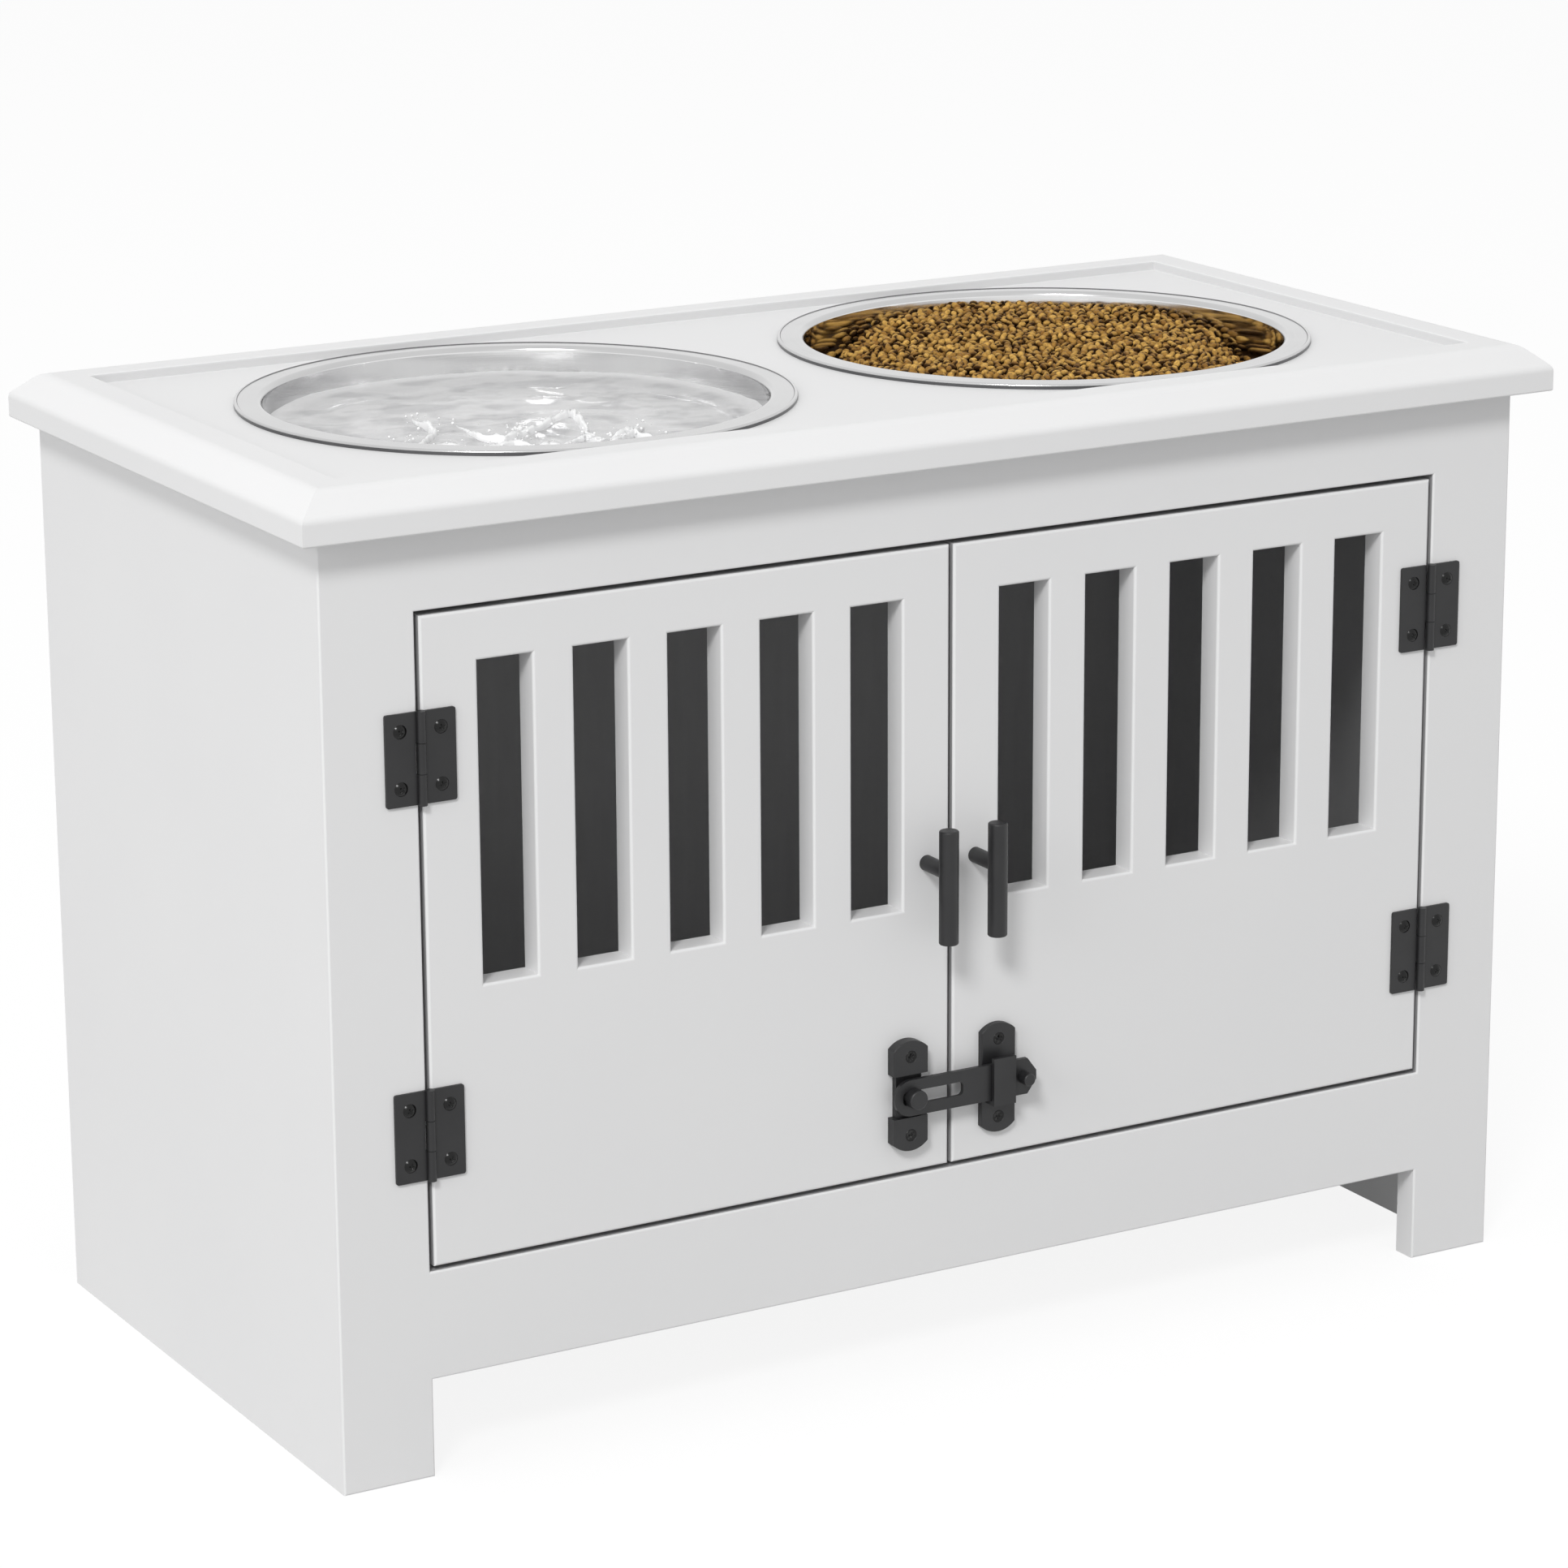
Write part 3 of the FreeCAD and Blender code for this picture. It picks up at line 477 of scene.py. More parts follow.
# Turn a bmesh into an object whose edges past an angle stay sharp
def finishMesh(name, made, materials=(), smoothAngle=0):
    data = bpy.data.meshes.new(name)
    made.to_mesh(data)
    made.free()
    for material in materials:
        data.materials.append(material)
    data.polygons.foreach_set("use_smooth", [True] * len(data.polygons))
    if smoothAngle:
        data.set_sharp_from_angle(angle=math.radians(smoothAngle))
    return addObject(name, data)


# Corners of a level ring, anticlockwise
def ringOf(made, centre, radius, up, count):
    ring = []
    for k in range(count):
        angle = 2 * math.pi * k / count
        ring.append(made.verts.new((centre.x + radius * math.cos(angle),
                                    centre.y + radius * math.sin(angle), up)))
    return ring


# Turn a closed path about an upright axis. The turning UV map runs round it and along it
def lathe(name, path, centre, segments, material, smoothAngle=40):
    made = bmesh.new()
    uv = made.loops.layers.uv.new("turning")
    rings = []
    for point in path:
        if point.x < 1e-7:        # on the axis
            rings.append([made.verts.new((centre.x, centre.y, point.y))])
        else:
            rings.append(ringOf(made, centre, point.x, point.y, segments))
    along = [0.0]
    for a, b in zip(path, path[1:]):
        along.append(along[-1] + (b - a).length)
    for i in range(len(rings) - 1):
        low, high = rings[i], rings[i + 1]
        for k in range(segments):
            n = (k + 1) % segments
            corners = [(low[k % len(low)], k, i), (low[n % len(low)], k + 1, i),
                       (high[n % len(high)], k + 1, i + 1), (high[k % len(high)], k, i + 1)]
            kept = []
            for corner in corners:
                if corner[0] not in [other[0] for other in kept]:
                    kept.append(corner)
            if len(kept) < 3:
                continue
            face = made.faces.new([corner[0] for corner in kept])
            for loop, corner in zip(face.loops, kept):
                loop[uv].uv = (corner[1] / segments, along[corner[2]])
    bmesh.ops.recalc_face_normals(made, faces=made.faces)
    return finishMesh(name, made, [material], smoothAngle)


# Steel bowls: a flat rolled rim, a leaning wall and a coved floor
bowl = {
    "rimWidth": 11.8 * mm,
    "rimHeight": 2.4 * mm,
    "rimDish": 0.5 * mm,          # the rim falls a little towards its outer edge
    "wall": 1.0 * mm,
    "floorInset": 4.0 * mm,
    "cove": 45.0 * mm,
    "mouthRound": 2.5 * mm,
    "rimRound": 0.9 * mm,
    "beadWidth": 1.6 * mm,        # the rolled edge stands up as a bead, with a slope on its inside
    "beadSlope": 0.35 * mm,
    "beadHeight": 0.32 * mm,
    "beadRound": 0.12 * mm,
    "edgeRise": 0.75 * mm,        # how far up the rolled edge takes the painted reflection and shade
    "floorCrown": 1.2 * mm,
    "segments": 192,
    "arcSteps": 8,
}


def bowlPlace(side):
    low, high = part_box("bowl_" + side)
    return Vector(((low.x + high.x) / 2, (low.y + high.y) / 2, 0)), low.z, high.z, (high.x - low.x) / 2


def makeBowl(side):
    centre, bottom, top, rim = bowlPlace(side)
    wall = bowl["wall"]
    mouth = rim - bowl["rimWidth"]
    floor = mouth - bowl["floorInset"]
    skirt = top - bowl["rimHeight"]
    dish = bowl["rimDish"]
    bead = rim - bowl["beadWidth"]
    path = roundedPath([
        (0, bottom + wall + bowl["floorCrown"], 0),
        (floor, bottom + wall, bowl["cove"]),
        (mouth, top, bowl["mouthRound"]),
        (bead, top - dish, bowl["beadRound"]),
        (bead + bowl["beadSlope"], top - dish + bowl["beadHeight"], bowl["beadRound"]),
        (rim, top - dish + bowl["beadHeight"], bowl["rimRound"]),
        (rim, skirt, 0),
        (rim - wall, skirt, 0),
        (rim - wall, top - dish - wall, 0),
        (mouth + wall, top - wall, bowl["mouthRound"]),
        (floor + wall, bottom, bowl["cove"] + wall),
        (0, bottom + bowl["floorCrown"], 0)], bowl["arcSteps"])
    piece = lathe("steel_bowl_" + side, path, centre, bowl["segments"], slotMaterials["bowl_steel"], 50)
    for material in (rimSteel, rimEdge, wallSteel):
        piece.data.materials.append(material)
    # the rim's edge and bead slope take the painted reflection and shade; the left bowl's upper wall takes
    # the painted reflection
    for face in piece.data.polygons:
        away = math.hypot(face.center.x - centre.x, face.center.y - centre.y)
        slope = bead < away < bead + bowl["beadSlope"] and face.normal.z > 0
        if slope or away > rim - wall / 2 and face.center.z < skirt + bowl["edgeRise"]:
            face.material_index = 2
        elif away > mouth:
            face.material_index = 1
        elif side == "left" and face.center.z > top - steel["shadeDepth"] and face.normal.z > 0:
            face.material_index = 3
    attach(piece, "bowl_" + side)
    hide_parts("bowl_" + side)


for side in ("left", "right"):
    makeBowl(side)
print("bowls turned")


# Inside profile of a bowl, from the middle of its floor out to the mouth
def insideProfile(side):
    centre, bottom, top, rim = bowlPlace(side)
    mouth = rim - bowl["rimWidth"]
    floor = bottom + bowl["wall"]
    return roundedPath([(0, floor + bowl["floorCrown"], 0),
                        (mouth - bowl["floorInset"], floor, bowl["cove"]),
                        (mouth, top, 0)], bowl["arcSteps"])


def radiusAt(profile, height):
    for low, high in zip(profile, profile[1:]):
        if low.y <= height < high.y:
            return low.x + (high.x - low.x) * (height - low.y) / (high.y - low.y)
    return profile[-1].x


# Rings of points over a bowl's filling: its top follows heightAt, its underside the bowl's inside
def fillingRings(side, heightAt, gap, rings, segments):
    centre, bottom, top, rim = bowlPlace(side)
    profile = insideProfile(side)
    edge = []
    for k in range(segments):
        angle = 2 * math.pi * k / segments
        way = Vector((math.cos(angle), math.sin(angle)))
        reach = radiusAt(profile, top)
        for step in range(5):     # the filling's height and the wall's radius there settle
            reach = radiusAt(profile, heightAt(*(way * reach))) - gap
        edge.append(way * reach)

    def place(point, height):
        return Vector((centre.x + point.x, centre.y + point.y, height))

    upper = [[place(Vector((0, 0)), heightAt(0, 0))]]
    for i in range(1, rings + 1):
        upper.append([place(point * i / rings, heightAt(*(point * i / rings))) for point in edge])
    lowest = min(point.z for point in upper[-1])
    lower = []
    for point in reversed(profile[1:]):
        if point.y + gap < lowest - gap:
            lower.append([place(way.normalized() * (point.x - gap), point.y + gap) for way in edge])
    lower.append([place(Vector((0, 0)), profile[0].y + gap)])
    return upper, lower


# Faces between rings of points that run anticlockwise; a ring of one point is a pole
def skin(name, rings, materials=(), smoothAngle=60):
    made = bmesh.new()
    loops = [[made.verts.new(point) for point in ring] for ring in rings]
    for near, far in zip(loops, loops[1:]):
        count = max(len(near), len(far))
        for k in range(count):
            n = (k + 1) % count
            corners = []
            for vert in (near[k % len(near)], far[k % len(far)], far[n % len(far)], near[n % len(near)]):
                if vert not in corners:
                    corners.append(vert)
            made.faces.new(corners)
    return finishMesh(name, made, materials, smoothAngle)


# Geometry Nodes: a tree with named inputs, its end, and its result as a plain mesh
def startTree(name, **inputs):
    tree = bpy.data.node_groups.new(name, "GeometryNodeTree")
    for kind, labels in {"Geometry": ["Geometry"], **inputs, "Material": ["material"]}.items():
        for label in labels:
            tree.interface.new_socket(label, in_out="INPUT", socket_type="NodeSocket" + kind)
    tree.interface.new_socket("Geometry", in_out="OUTPUT", socket_type="NodeSocketGeometry")
    return tree, addNode(tree, "NodeGroupInput").outputs


def endTree(tree, geometry, material):
    whole = addNode(tree, "GeometryNodeRealizeInstances", {"Geometry": geometry}).outputs["Geometry"]
    painted = addNode(tree, "GeometryNodeSetMaterial", {"Geometry": whole, "Material": material})
    addNode(tree, "NodeGroupOutput", {"Geometry": painted.outputs["Geometry"]})


# Give a piece the mesh that its modifiers make
def settle(piece):
    evaluated = piece.evaluated_get(bpy.context.evaluated_depsgraph_get())
    settled = bpy.data.meshes.new_from_object(evaluated)
    piece.modifiers.clear()
    piece.data = settled
    settled.name = piece.name


# The values may hold more than the tree's inputs
def growTree(piece, tree, values):
    modifier = piece.modifiers.new("tree", "NODES")
    modifier.node_group = tree
    for item in tree.interface.items_tree:
        if item.in_out == "INPUT" and item.name in values:
            modifier[item.identifier] = values[item.name]
    settle(piece)


def joinParts(tree, parts):
    join = addNode(tree, "GeometryNodeJoinGeometry")
    for part in parts:
        tree.links.new(part, join.inputs["Geometry"])
    return join.outputs["Geometry"]


def movePoints(tree, geometry, way, vector):
    return addNode(tree, "GeometryNodeSetPosition", {"Geometry": geometry, way: vector}).outputs["Geometry"]


def randomVector(tree, low, high, seed):
    return addNode(tree, "FunctionNodeRandomValue", {"Min": low, "Max": high, "Seed": seed},
                   data_type="FLOAT_VECTOR").outputs["Value"]


# Dry food in the right bowl: rounded pellets lie in two layers on a heap that sinks at the sides. The lower
# layer and the heap are painted darker as shade
kibble = {
    "shader": {"Roughness": 0.55, "Specular IOR Level": 0.15},
    "level": -5.5 * mm,           # top of the heap below the rim
    "sink": 36.0 * mm,            # how far it falls at the left and right walls
    "sinkPower": 5,
    "lumps": 1.6 * mm,
    "lumpScale": 38.0,
    "lumpSlice": 3.7,             # where the lumps' noise is cut
    "wallGap": 1.8 * mm,
    "rings": 24,
    "segments": 96,
    "pelletSize": (2.0 * mm, 1.62 * mm, 1.15 * mm),     # half its length, width and height
    "spacing": 3.25 * mm,
    "crowding": 2.0,              # tries for a pellet in each square of that spacing
    "pelletSides": 8,
    "pelletShares": ((0.62, -0.92), (1.0, -0.25), (0.96, 0.35), (0.58, 0.95)),  # profile, out and up
    "leastSize": (0.75, 0.75, 0.8),
    "mostSize": (1.2, 1.2, 1.2),
    "layers": 2,
    "layerDrop": 1.6 * mm,
    "tilt": 0.8,                  # radians, at most
    "seed": 11,
    "seedStep": 10,               # from layer to layer
    "lightCrust": (0.79, 0.47, 0.115, 1.0),
    "darkCrust": (0.30, 0.143, 0.025, 1.0),
    # painted shade: darker copies of the crust for the lower layer
    "deepCrust": (0.25, 0.125, 0.026, 1.0),
    "crumb": (0.13, 0.06, 0.014, 1.0),
    # painted shade between the pellets, on their undersides and on the heap
    "gap": (0.045, 0.019, 0.004, 1.0),
    "crumbScale": 1000.0,
    "crumbShare": 0.6,            # of the crumbs' colour, at most
    "crumbRange": (0.40, 0.75),   # of the noise, from none to most
    "crumbStrength": 0.7,
    "crumbDepth": 0.4 * mm,
    "shadeFrom": -0.25,           # a pellet clears from the painted shade between these heights, which run from -1 at its underside to 1 at its crown
    "shadeTo": 0.75,              # which run from -1 at its underside to 1 at its crown
}


def kibbleHeight(top, radius):
    def heightAt(x, y):
        share = abs(viewAcross.dot((x, y))) / radius
        lump = noise.noise(Vector((x, y, kibble["lumpSlice"])) * kibble["lumpScale"])
        return top + kibble["level"] - kibble["sink"] * share ** kibble["sinkPower"] + kibble["lumps"] * lump
    return heightAt


# A pellet is a low puck with a round edge, of unit size
def makePellet():
    made = bmesh.new()
    sides = kibble["pelletSides"]
    rings = [ringOf(made, Vector((0, 0)), reach, up, sides) for reach, up in kibble["pelletShares"]]
    for low, high in zip(rings, rings[1:]):
        for k in range(sides):
            n = (k + 1) % sides
            made.faces.new((low[k], low[n], high[n], high[k]))
    made.faces.new(list(reversed(rings[0])))
    made.faces.new(rings[-1])
    heights = [vert.co.z for vert in made.verts]
    pattern = finishMesh("pelletPattern", made)
    pattern.data.attributes.new("height", "FLOAT", "POINT").data.foreach_set("value", heights)
    return pattern


def kibbleTree():
    tree, given = startTree("kibbleTree", Object=["pellet"], Float=["spacing", "crowding", "tilt"],
                            Int=["seed"], Vector=["pelletSize", "leastSize", "mostSize"])
    pellet = addNode(tree, "GeometryNodeObjectInfo", {"Object": given["pellet"]}).outputs["Geometry"]
    square = calculate(tree, "MULTIPLY", given["spacing"], given["spacing"])
    points = addNode(tree, "GeometryNodeDistributePointsOnFaces",
                     {"Mesh": given["Geometry"], "Distance Min": given["spacing"], "Seed": given["seed"],
                      "Density Max": calculate(tree, "DIVIDE", given["crowding"], square)},
                     distribute_method="POISSON").outputs["Points"]
    share = randomVector(tree, given["leastSize"], given["mostSize"], given["seed"])
    sizes = calculateVector(tree, "MULTIPLY", given["pelletSize"], share)
    tilt = given["tilt"]
    back = calculate(tree, "MULTIPLY", tilt, -1.0)
    turned = randomVector(tree, joinVector(tree, back, back), joinVector(tree, tilt, tilt, math.pi),
                          calculate(tree, "ADD", given["seed"], 1.0))
    pieces = addNode(tree, "GeometryNodeInstanceOnPoints",
                     {"Points": points, "Instance": pellet, "Rotation": turned, "Scale": sizes})
    tone = addNode(tree, "FunctionNodeRandomValue", {"Seed": calculate(tree, "ADD", given["seed"], 2.0)},
                   data_type="FLOAT").outputs[1]
    named = addNode(tree, "GeometryNodeStoreNamedAttribute",
                    {"Geometry": pieces.outputs["Instances"], "Name": "tone", "Value": tone},
                    data_type="FLOAT", domain="INSTANCE")
    endTree(tree, named.outputs["Geometry"], given["material"])
    return tree


# Baked crust: each pellet has its own tone, with dark crumbs in it, and painted shade towards its underside
def kibbleMaterial(name, light, dark, crumb):
    material, tree, shader = newMaterial(name, kibble["shader"])
    tone = addNode(tree, "ShaderNodeAttribute", attribute_name="tone").outputs["Fac"]
    crumbs = softNoise(tree, kibble["crumbScale"], 4.0)
    baked = mixColours(tree, tone, dark, light)
    strewn = spread(tree, crumbs, 0.0, kibble["crumbShare"], *kibble["crumbRange"])
    crust = mixColours(tree, strewn, baked, crumb)
    # painted shade towards each pellet's underside
    height = addNode(tree, "ShaderNodeAttribute", attribute_name="height").outputs["Fac"]
    depth = spread(tree, height, 1.0, 0.0, kibble["shadeFrom"], kibble["shadeTo"])
    coatWith(tree, shader, mixColours(tree, depth, crust, kibble["gap"]))
    addBump(tree, shader, crumbs, kibble["crumbStrength"], kibble["crumbDepth"])
    return material


def makeKibble(side):
    centre, bottom, top, rim = bowlPlace(side)
    heightAt = kibbleHeight(top, rim - bowl["rimWidth"])
    upper, lower = fillingRings(side, heightAt, kibble["wallGap"], kibble["rings"], kibble["segments"])
    # the lower layer and the heap take painted shade
    crusts = [kibbleMaterial("kibbleCrust", kibble["lightCrust"], kibble["darkCrust"], kibble["crumb"]),
              kibbleMaterial("kibbleDeep", kibble["darkCrust"], kibble["deepCrust"], kibble["crumb"])]
    shaded = kibbleMaterial("kibbleShaded", kibble["crumb"], kibble["gap"], kibble["gap"])
    pattern = makePellet()
    tree = kibbleTree()
    pieces = []

    def sunken(layer):
        return [[point - Vector((0, 0, layer * kibble["layerDrop"])) for point in ring] for ring in upper]

    for layer in range(kibble["layers"]):
        pellets = skin(f"kibble_layer_{layer + 1}_{side}", sunken(layer))
        growTree(pellets, tree, {**kibble, "pellet": pattern, "material": crusts[min(layer, 1)],
                                 "seed": kibble["seed"] + kibble["seedStep"] * layer})
        print("kibble layer,", len(pellets.data.polygons), "faces")
        pieces.append(pellets)
    pieces.append(skin("kibble_heap_" + side, sunken(kibble["layers"]) + lower, [shaded]))
    bpy.data.objects.remove(pattern)
    for piece in pieces:
        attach(piece, "bowl_" + side)


makeKibble("right")


# Water in the left bowl, with ripples that run out from where it was poured
water = {
    "shader": {"Transmission Weight": 0.36, "IOR": 1.33, "Roughness": 0.05, "Specular IOR Level": 0.25},
    "level": -11.0 * mm,          # surface below the rim
    "wallGap": -0.2 * mm,         # it reaches into the steel, so that no air lies between them
    "rings": 72,
    "segments": 192,
    "swell": 0.9 * mm,
    "swellScale": 30.0,
    "swellSlice": 1.3,            # where the swell's noise is cut
    "chop": 0.35 * mm,
    "chopScale": 110.0,
    "chopSlice": 8.1,
    "dropShares": ((0.25, 0.15), (-0.25, 0.45), (0.55, 0.5)),   # middles of the ripples
    "rippleHeight": 0.45 * mm,
    "rippleLength": 11.0 * mm,
    "rippleFade": 24.0 * mm,
    "clear": grey(0.86, 0.865),
    "cloudy": grey(0.63, 0.64),
    # painted highlight along the waterline at the wall
    "waterline": grey(0.97, 0.975),
    "lineShares": (0.885, 0.94),  # the painted highlight at the waterline rises between these, shares of the mouth
    "hazeScale": 55.0,
    "hazeDetail": 1.5,
    "hazeRange": (0.46, 0.60),    # of the noise, from clear to cloudy
    "shimmerScale": 260.0,
    "shimmerStrength": 0.15,
    "shimmerDepth": 0.3 * mm,
}


# Shares along the bowl from left to right and towards the viewer, as a place beside its middle
def seenPlace(shares, radius):
    near = Vector((viewAcross.y, -viewAcross.x))
    return (viewAcross * shares[0] + near * shares[1]) * radius


def waterHeight(top, radius):
    drops = [seenPlace(shares, radius) for shares in water["dropShares"]]

    def heightAt(x, y):
        rise = 0.0
        for wave in ("swell", "chop"):
            place = Vector((x, y, water[wave + "Slice"])) * water[wave + "Scale"]
            rise += water[wave] * noise.noise(place)
        for drop in drops:
            away = (Vector((x, y)) - drop).length
            fade = math.exp(-away / water["rippleFade"])
            rise += water["rippleHeight"] * fade * math.cos(2 * math.pi * away / water["rippleLength"])
        return top + water["level"] + rise
    return heightAt


def waterMaterial(centre, radius):
    material, tree, shader = newMaterial("water", water["shader"])
    clouds = softNoise(tree, water["hazeScale"], water["hazeDetail"])
    haze = spread(tree, clouds, 0.0, 1.0, *water["hazeRange"])
    place = calculateVector(tree, "SUBTRACT", objectPlace(tree), centre)
    flat = calculateVector(tree, "MULTIPLY", place, (1.0, 1.0, 0.0))
    away = addNode(tree, "ShaderNodeVectorMath", {0: flat}, operation="LENGTH").outputs["Value"]
    # painted highlight along the waterline
    line = spread(tree, away, 0.0, 1.0, *[share * radius for share in water["lineShares"]])
    colour = mixColours(tree, haze, water["clear"], water["cloudy"])
    coatWith(tree, shader, mixColours(tree, line, colour, water["waterline"]))
    shimmer = softNoise(tree, water["shimmerScale"])
    addBump(tree, shader, shimmer, water["shimmerStrength"], water["shimmerDepth"])
    return material


# Splash: jagged crests along lines in the water, with drops thrown up beside them
splash = {
    "shader": {"Roughness": 0.25, "IOR": 1.33},
    # painted highlight: the white of the crests and drops
    "froth": (grey(1.0), (0.95, 0.955, 0.96, 1.0)),
    "frothScale": 700.0,
    "reachShare": 0.94,           # of the water's radius, which the crests' places are shares of
    "crestShares": (
        ((-0.44, 0.02), (-0.32, 0.36), (-0.36, 0.62), (-0.47, 0.76)),
        ((-0.47, 0.60), (-0.42, 0.80), (-0.26, 0.68), (-0.12, 0.78)),
        ((-0.25, 0.14), (-0.14, 0.44), (-0.03, 0.52), (0.11, 0.26), (0.23, -0.06), (0.31, 0.34),
         (0.41, 0.60)),
        ((0.02, 0.40), (0.03, 0.28)),
        ((0.18, 0.74), (0.31, 0.42), (0.40, 0.74), (0.50, 0.36), (0.60, 0.52), (0.69, 0.44)),
        ((0.40, 0.62), (0.46, 0.40), (0.55, 0.22)),
        ((0.05, 0.86), (0.16, 0.70), (0.28, 0.78)),
        ((-0.62, 0.66), (-0.52, 0.72), (-0.40, 0.88)),
        ((-0.12, 0.78), (0.02, 0.62), (0.14, 0.66)),
    ),
    "step": 1.2 * mm,
    "wander": 2.2 * mm,
    "wanderScale": 90.0,
    "thick": 1.2 * mm,
    "thickShares": (0.6, 1.2),    # of that thickness, as a crest swells and thins
    "thickRange": (0.35, 0.65),   # of the noise, from thin to thick
    "taper": 0.6,                 # power by which a crest thins out at its ends
    "sides": 8,
    "tall": 3.4,                  # height of a crest over its thickness
    "drops": 26,
    "dropSize": 0.7 * mm,
    "leastDrop": 0.3,             # size of the smallest drop, a share of the largest
    "throw": (5.0 * mm, 5.0 * mm, 5.0 * mm),
    "seed": 4,
}


def splashTree():
    tree, given = startTree("splashTree", Vector=["throw"], Int=["sides", "drops", "seed"],
                            Float=["step", "wander", "wanderScale", "thick", "taper", "tall", "level",
                                   "dropSize", "leastDrop"])
    lines = addNode(tree, "GeometryNodeMeshToCurve", {"Mesh": given["Geometry"]}).outputs["Curve"]
    fine = addNode(tree, "GeometryNodeResampleCurve", {"Curve": lines, "Length": given["step"]},
                   mode="LENGTH").outputs["Curve"]
    noiseHere = addNode(tree, "ShaderNodeTexNoise", {"Scale": given["wanderScale"], "Detail": 3.0}).outputs
    centred = calculateVector(tree, "SUBTRACT", noiseHere["Color"], (0.5, 0.5, 0.5))
    flat = calculateVector(tree, "MULTIPLY", centred, (2.0, 2.0, 0.0))
    aside = addNode(tree, "ShaderNodeVectorMath", {0: flat, "Scale": given["wander"]},
                    operation="SCALE").outputs["Vector"]
    jagged = movePoints(tree, fine, "Offset", aside)
    along = addNode(tree, "GeometryNodeSplineParameter").outputs["Factor"]
    ends = calculate(tree, "SINE", calculate(tree, "MULTIPLY", along, math.pi))
    swelling = spread(tree, noiseHere["Fac"], *splash["thickShares"], *splash["thickRange"])
    girth = calculate(tree, "MULTIPLY", calculate(tree, "POWER", ends, given["taper"]), swelling)
    ring = addNode(tree, "GeometryNodeCurvePrimitiveCircle", {"Resolution": given["sides"], "Radius": 1.0})
    crest = addNode(tree, "GeometryNodeCurveToMesh",
                    {"Curve": jagged, "Profile Curve": ring.outputs["Curve"], "Fill Caps": True,
                     "Scale": calculate(tree, "MULTIPLY", girth, given["thick"])}).outputs["Mesh"]
    split = splitVector(tree, addNode(tree, "GeometryNodeInputPosition").outputs["Position"])
    rise = calculate(tree, "SUBTRACT", split["Z"], given["level"])
    height = calculate(tree, "ADD", given["level"], calculate(tree, "MULTIPLY", rise, given["tall"]))
    walls = movePoints(tree, crest, "Position", joinVector(tree, split["X"], split["Y"], height))
    beads = addNode(tree, "GeometryNodeCurveToPoints", {"Curve": jagged, "Count": given["drops"]},
                    mode="COUNT").outputs["Points"]
    back = calculateVector(tree, "MULTIPLY", given["throw"], (-1.0, -1.0, 0.0))
    thrown = movePoints(tree, beads, "Offset", randomVector(tree, back, given["throw"], given["seed"]))
    ball = addNode(tree, "GeometryNodeMeshIcoSphere", {"Radius": 1.0, "Subdivisions": 2}).outputs["Mesh"]
    size = addNode(tree, "FunctionNodeRandomValue", {2: given["leastDrop"], 3: 1.0, "Seed": given["seed"]},
                   data_type="FLOAT").outputs[1]
    drops = addNode(tree, "GeometryNodeInstanceOnPoints",
                    {"Points": thrown, "Instance": ball,
                     "Scale": calculate(tree, "MULTIPLY", size, given["dropSize"])}).outputs["Instances"]
    whole = addNode(tree, "GeometryNodeRealizeInstances", {"Geometry": joinParts(tree, [walls, drops])})
    smooth = addNode(tree, "GeometryNodeSetShadeSmooth", {"Geometry": whole.outputs["Geometry"]})
    endTree(tree, smooth.outputs["Geometry"], given["material"])
    return tree


# the crests' white is painted highlight
def splashMaterial():
    material, tree, shader = newMaterial("splash", splash["shader"])
    coatWith(tree, shader, mixColours(tree, softNoise(tree, splash["frothScale"], 3.0), *splash["froth"]))
    return material


def makeWater(side):
    centre, bottom, top, rim = bowlPlace(side)
    radius = rim - bowl["rimWidth"]
    heightAt = waterHeight(top, radius)
    upper, lower = fillingRings(side, heightAt, water["wallGap"], water["rings"], water["segments"])
    pool = skin("water_" + side, upper + lower, [waterMaterial(centre, radius)])
    made = bmesh.new()
    level = top + water["level"]
    reach = radiusAt(insideProfile(side), level) * splash["reachShare"]
    for crest in splash["crestShares"]:
        line = []
        for shares in crest:
            here = seenPlace(shares, reach)
            line.append(made.verts.new((centre.x + here.x, centre.y + here.y, level)))
        for a, b in zip(line, line[1:]):
            made.edges.new((a, b))
    crests = finishMesh("water_splash_" + side, made)
    growTree(crests, splashTree(), {**splash, "level": level, "material": splashMaterial()})
    for piece in (pool, crests):
        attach(piece, "bowl_" + side)
    print("water poured,", len(pool.data.polygons) + len(crests.data.polygons), "faces")


makeWater("left")


# Screws where the frame has them: turned heads with a cross recess, set by Geometry Nodes
screws = {
    "headHeight": 1.4 * mm,
    "flatDepth": 1.4 * mm,
    "shankRadius": 1.4 * mm,
    "tipRadius": 0.35 * mm,
    "crossWidth": 0.8 * mm,
    "crossLength": 3.0 * mm,
    "crossDepth": 0.8 * mm,
    "crossTaper": 0.75,           # size of the recess at its bottom, a share of that at its top
    "segments": 32,
    "domeSteps": 6,
    "edge": 0.12 * mm,            # the flat heads' worn rim
    "turn": 0.8,                  # radians that a screw may stand turned, either way
    "seed": 5,
}


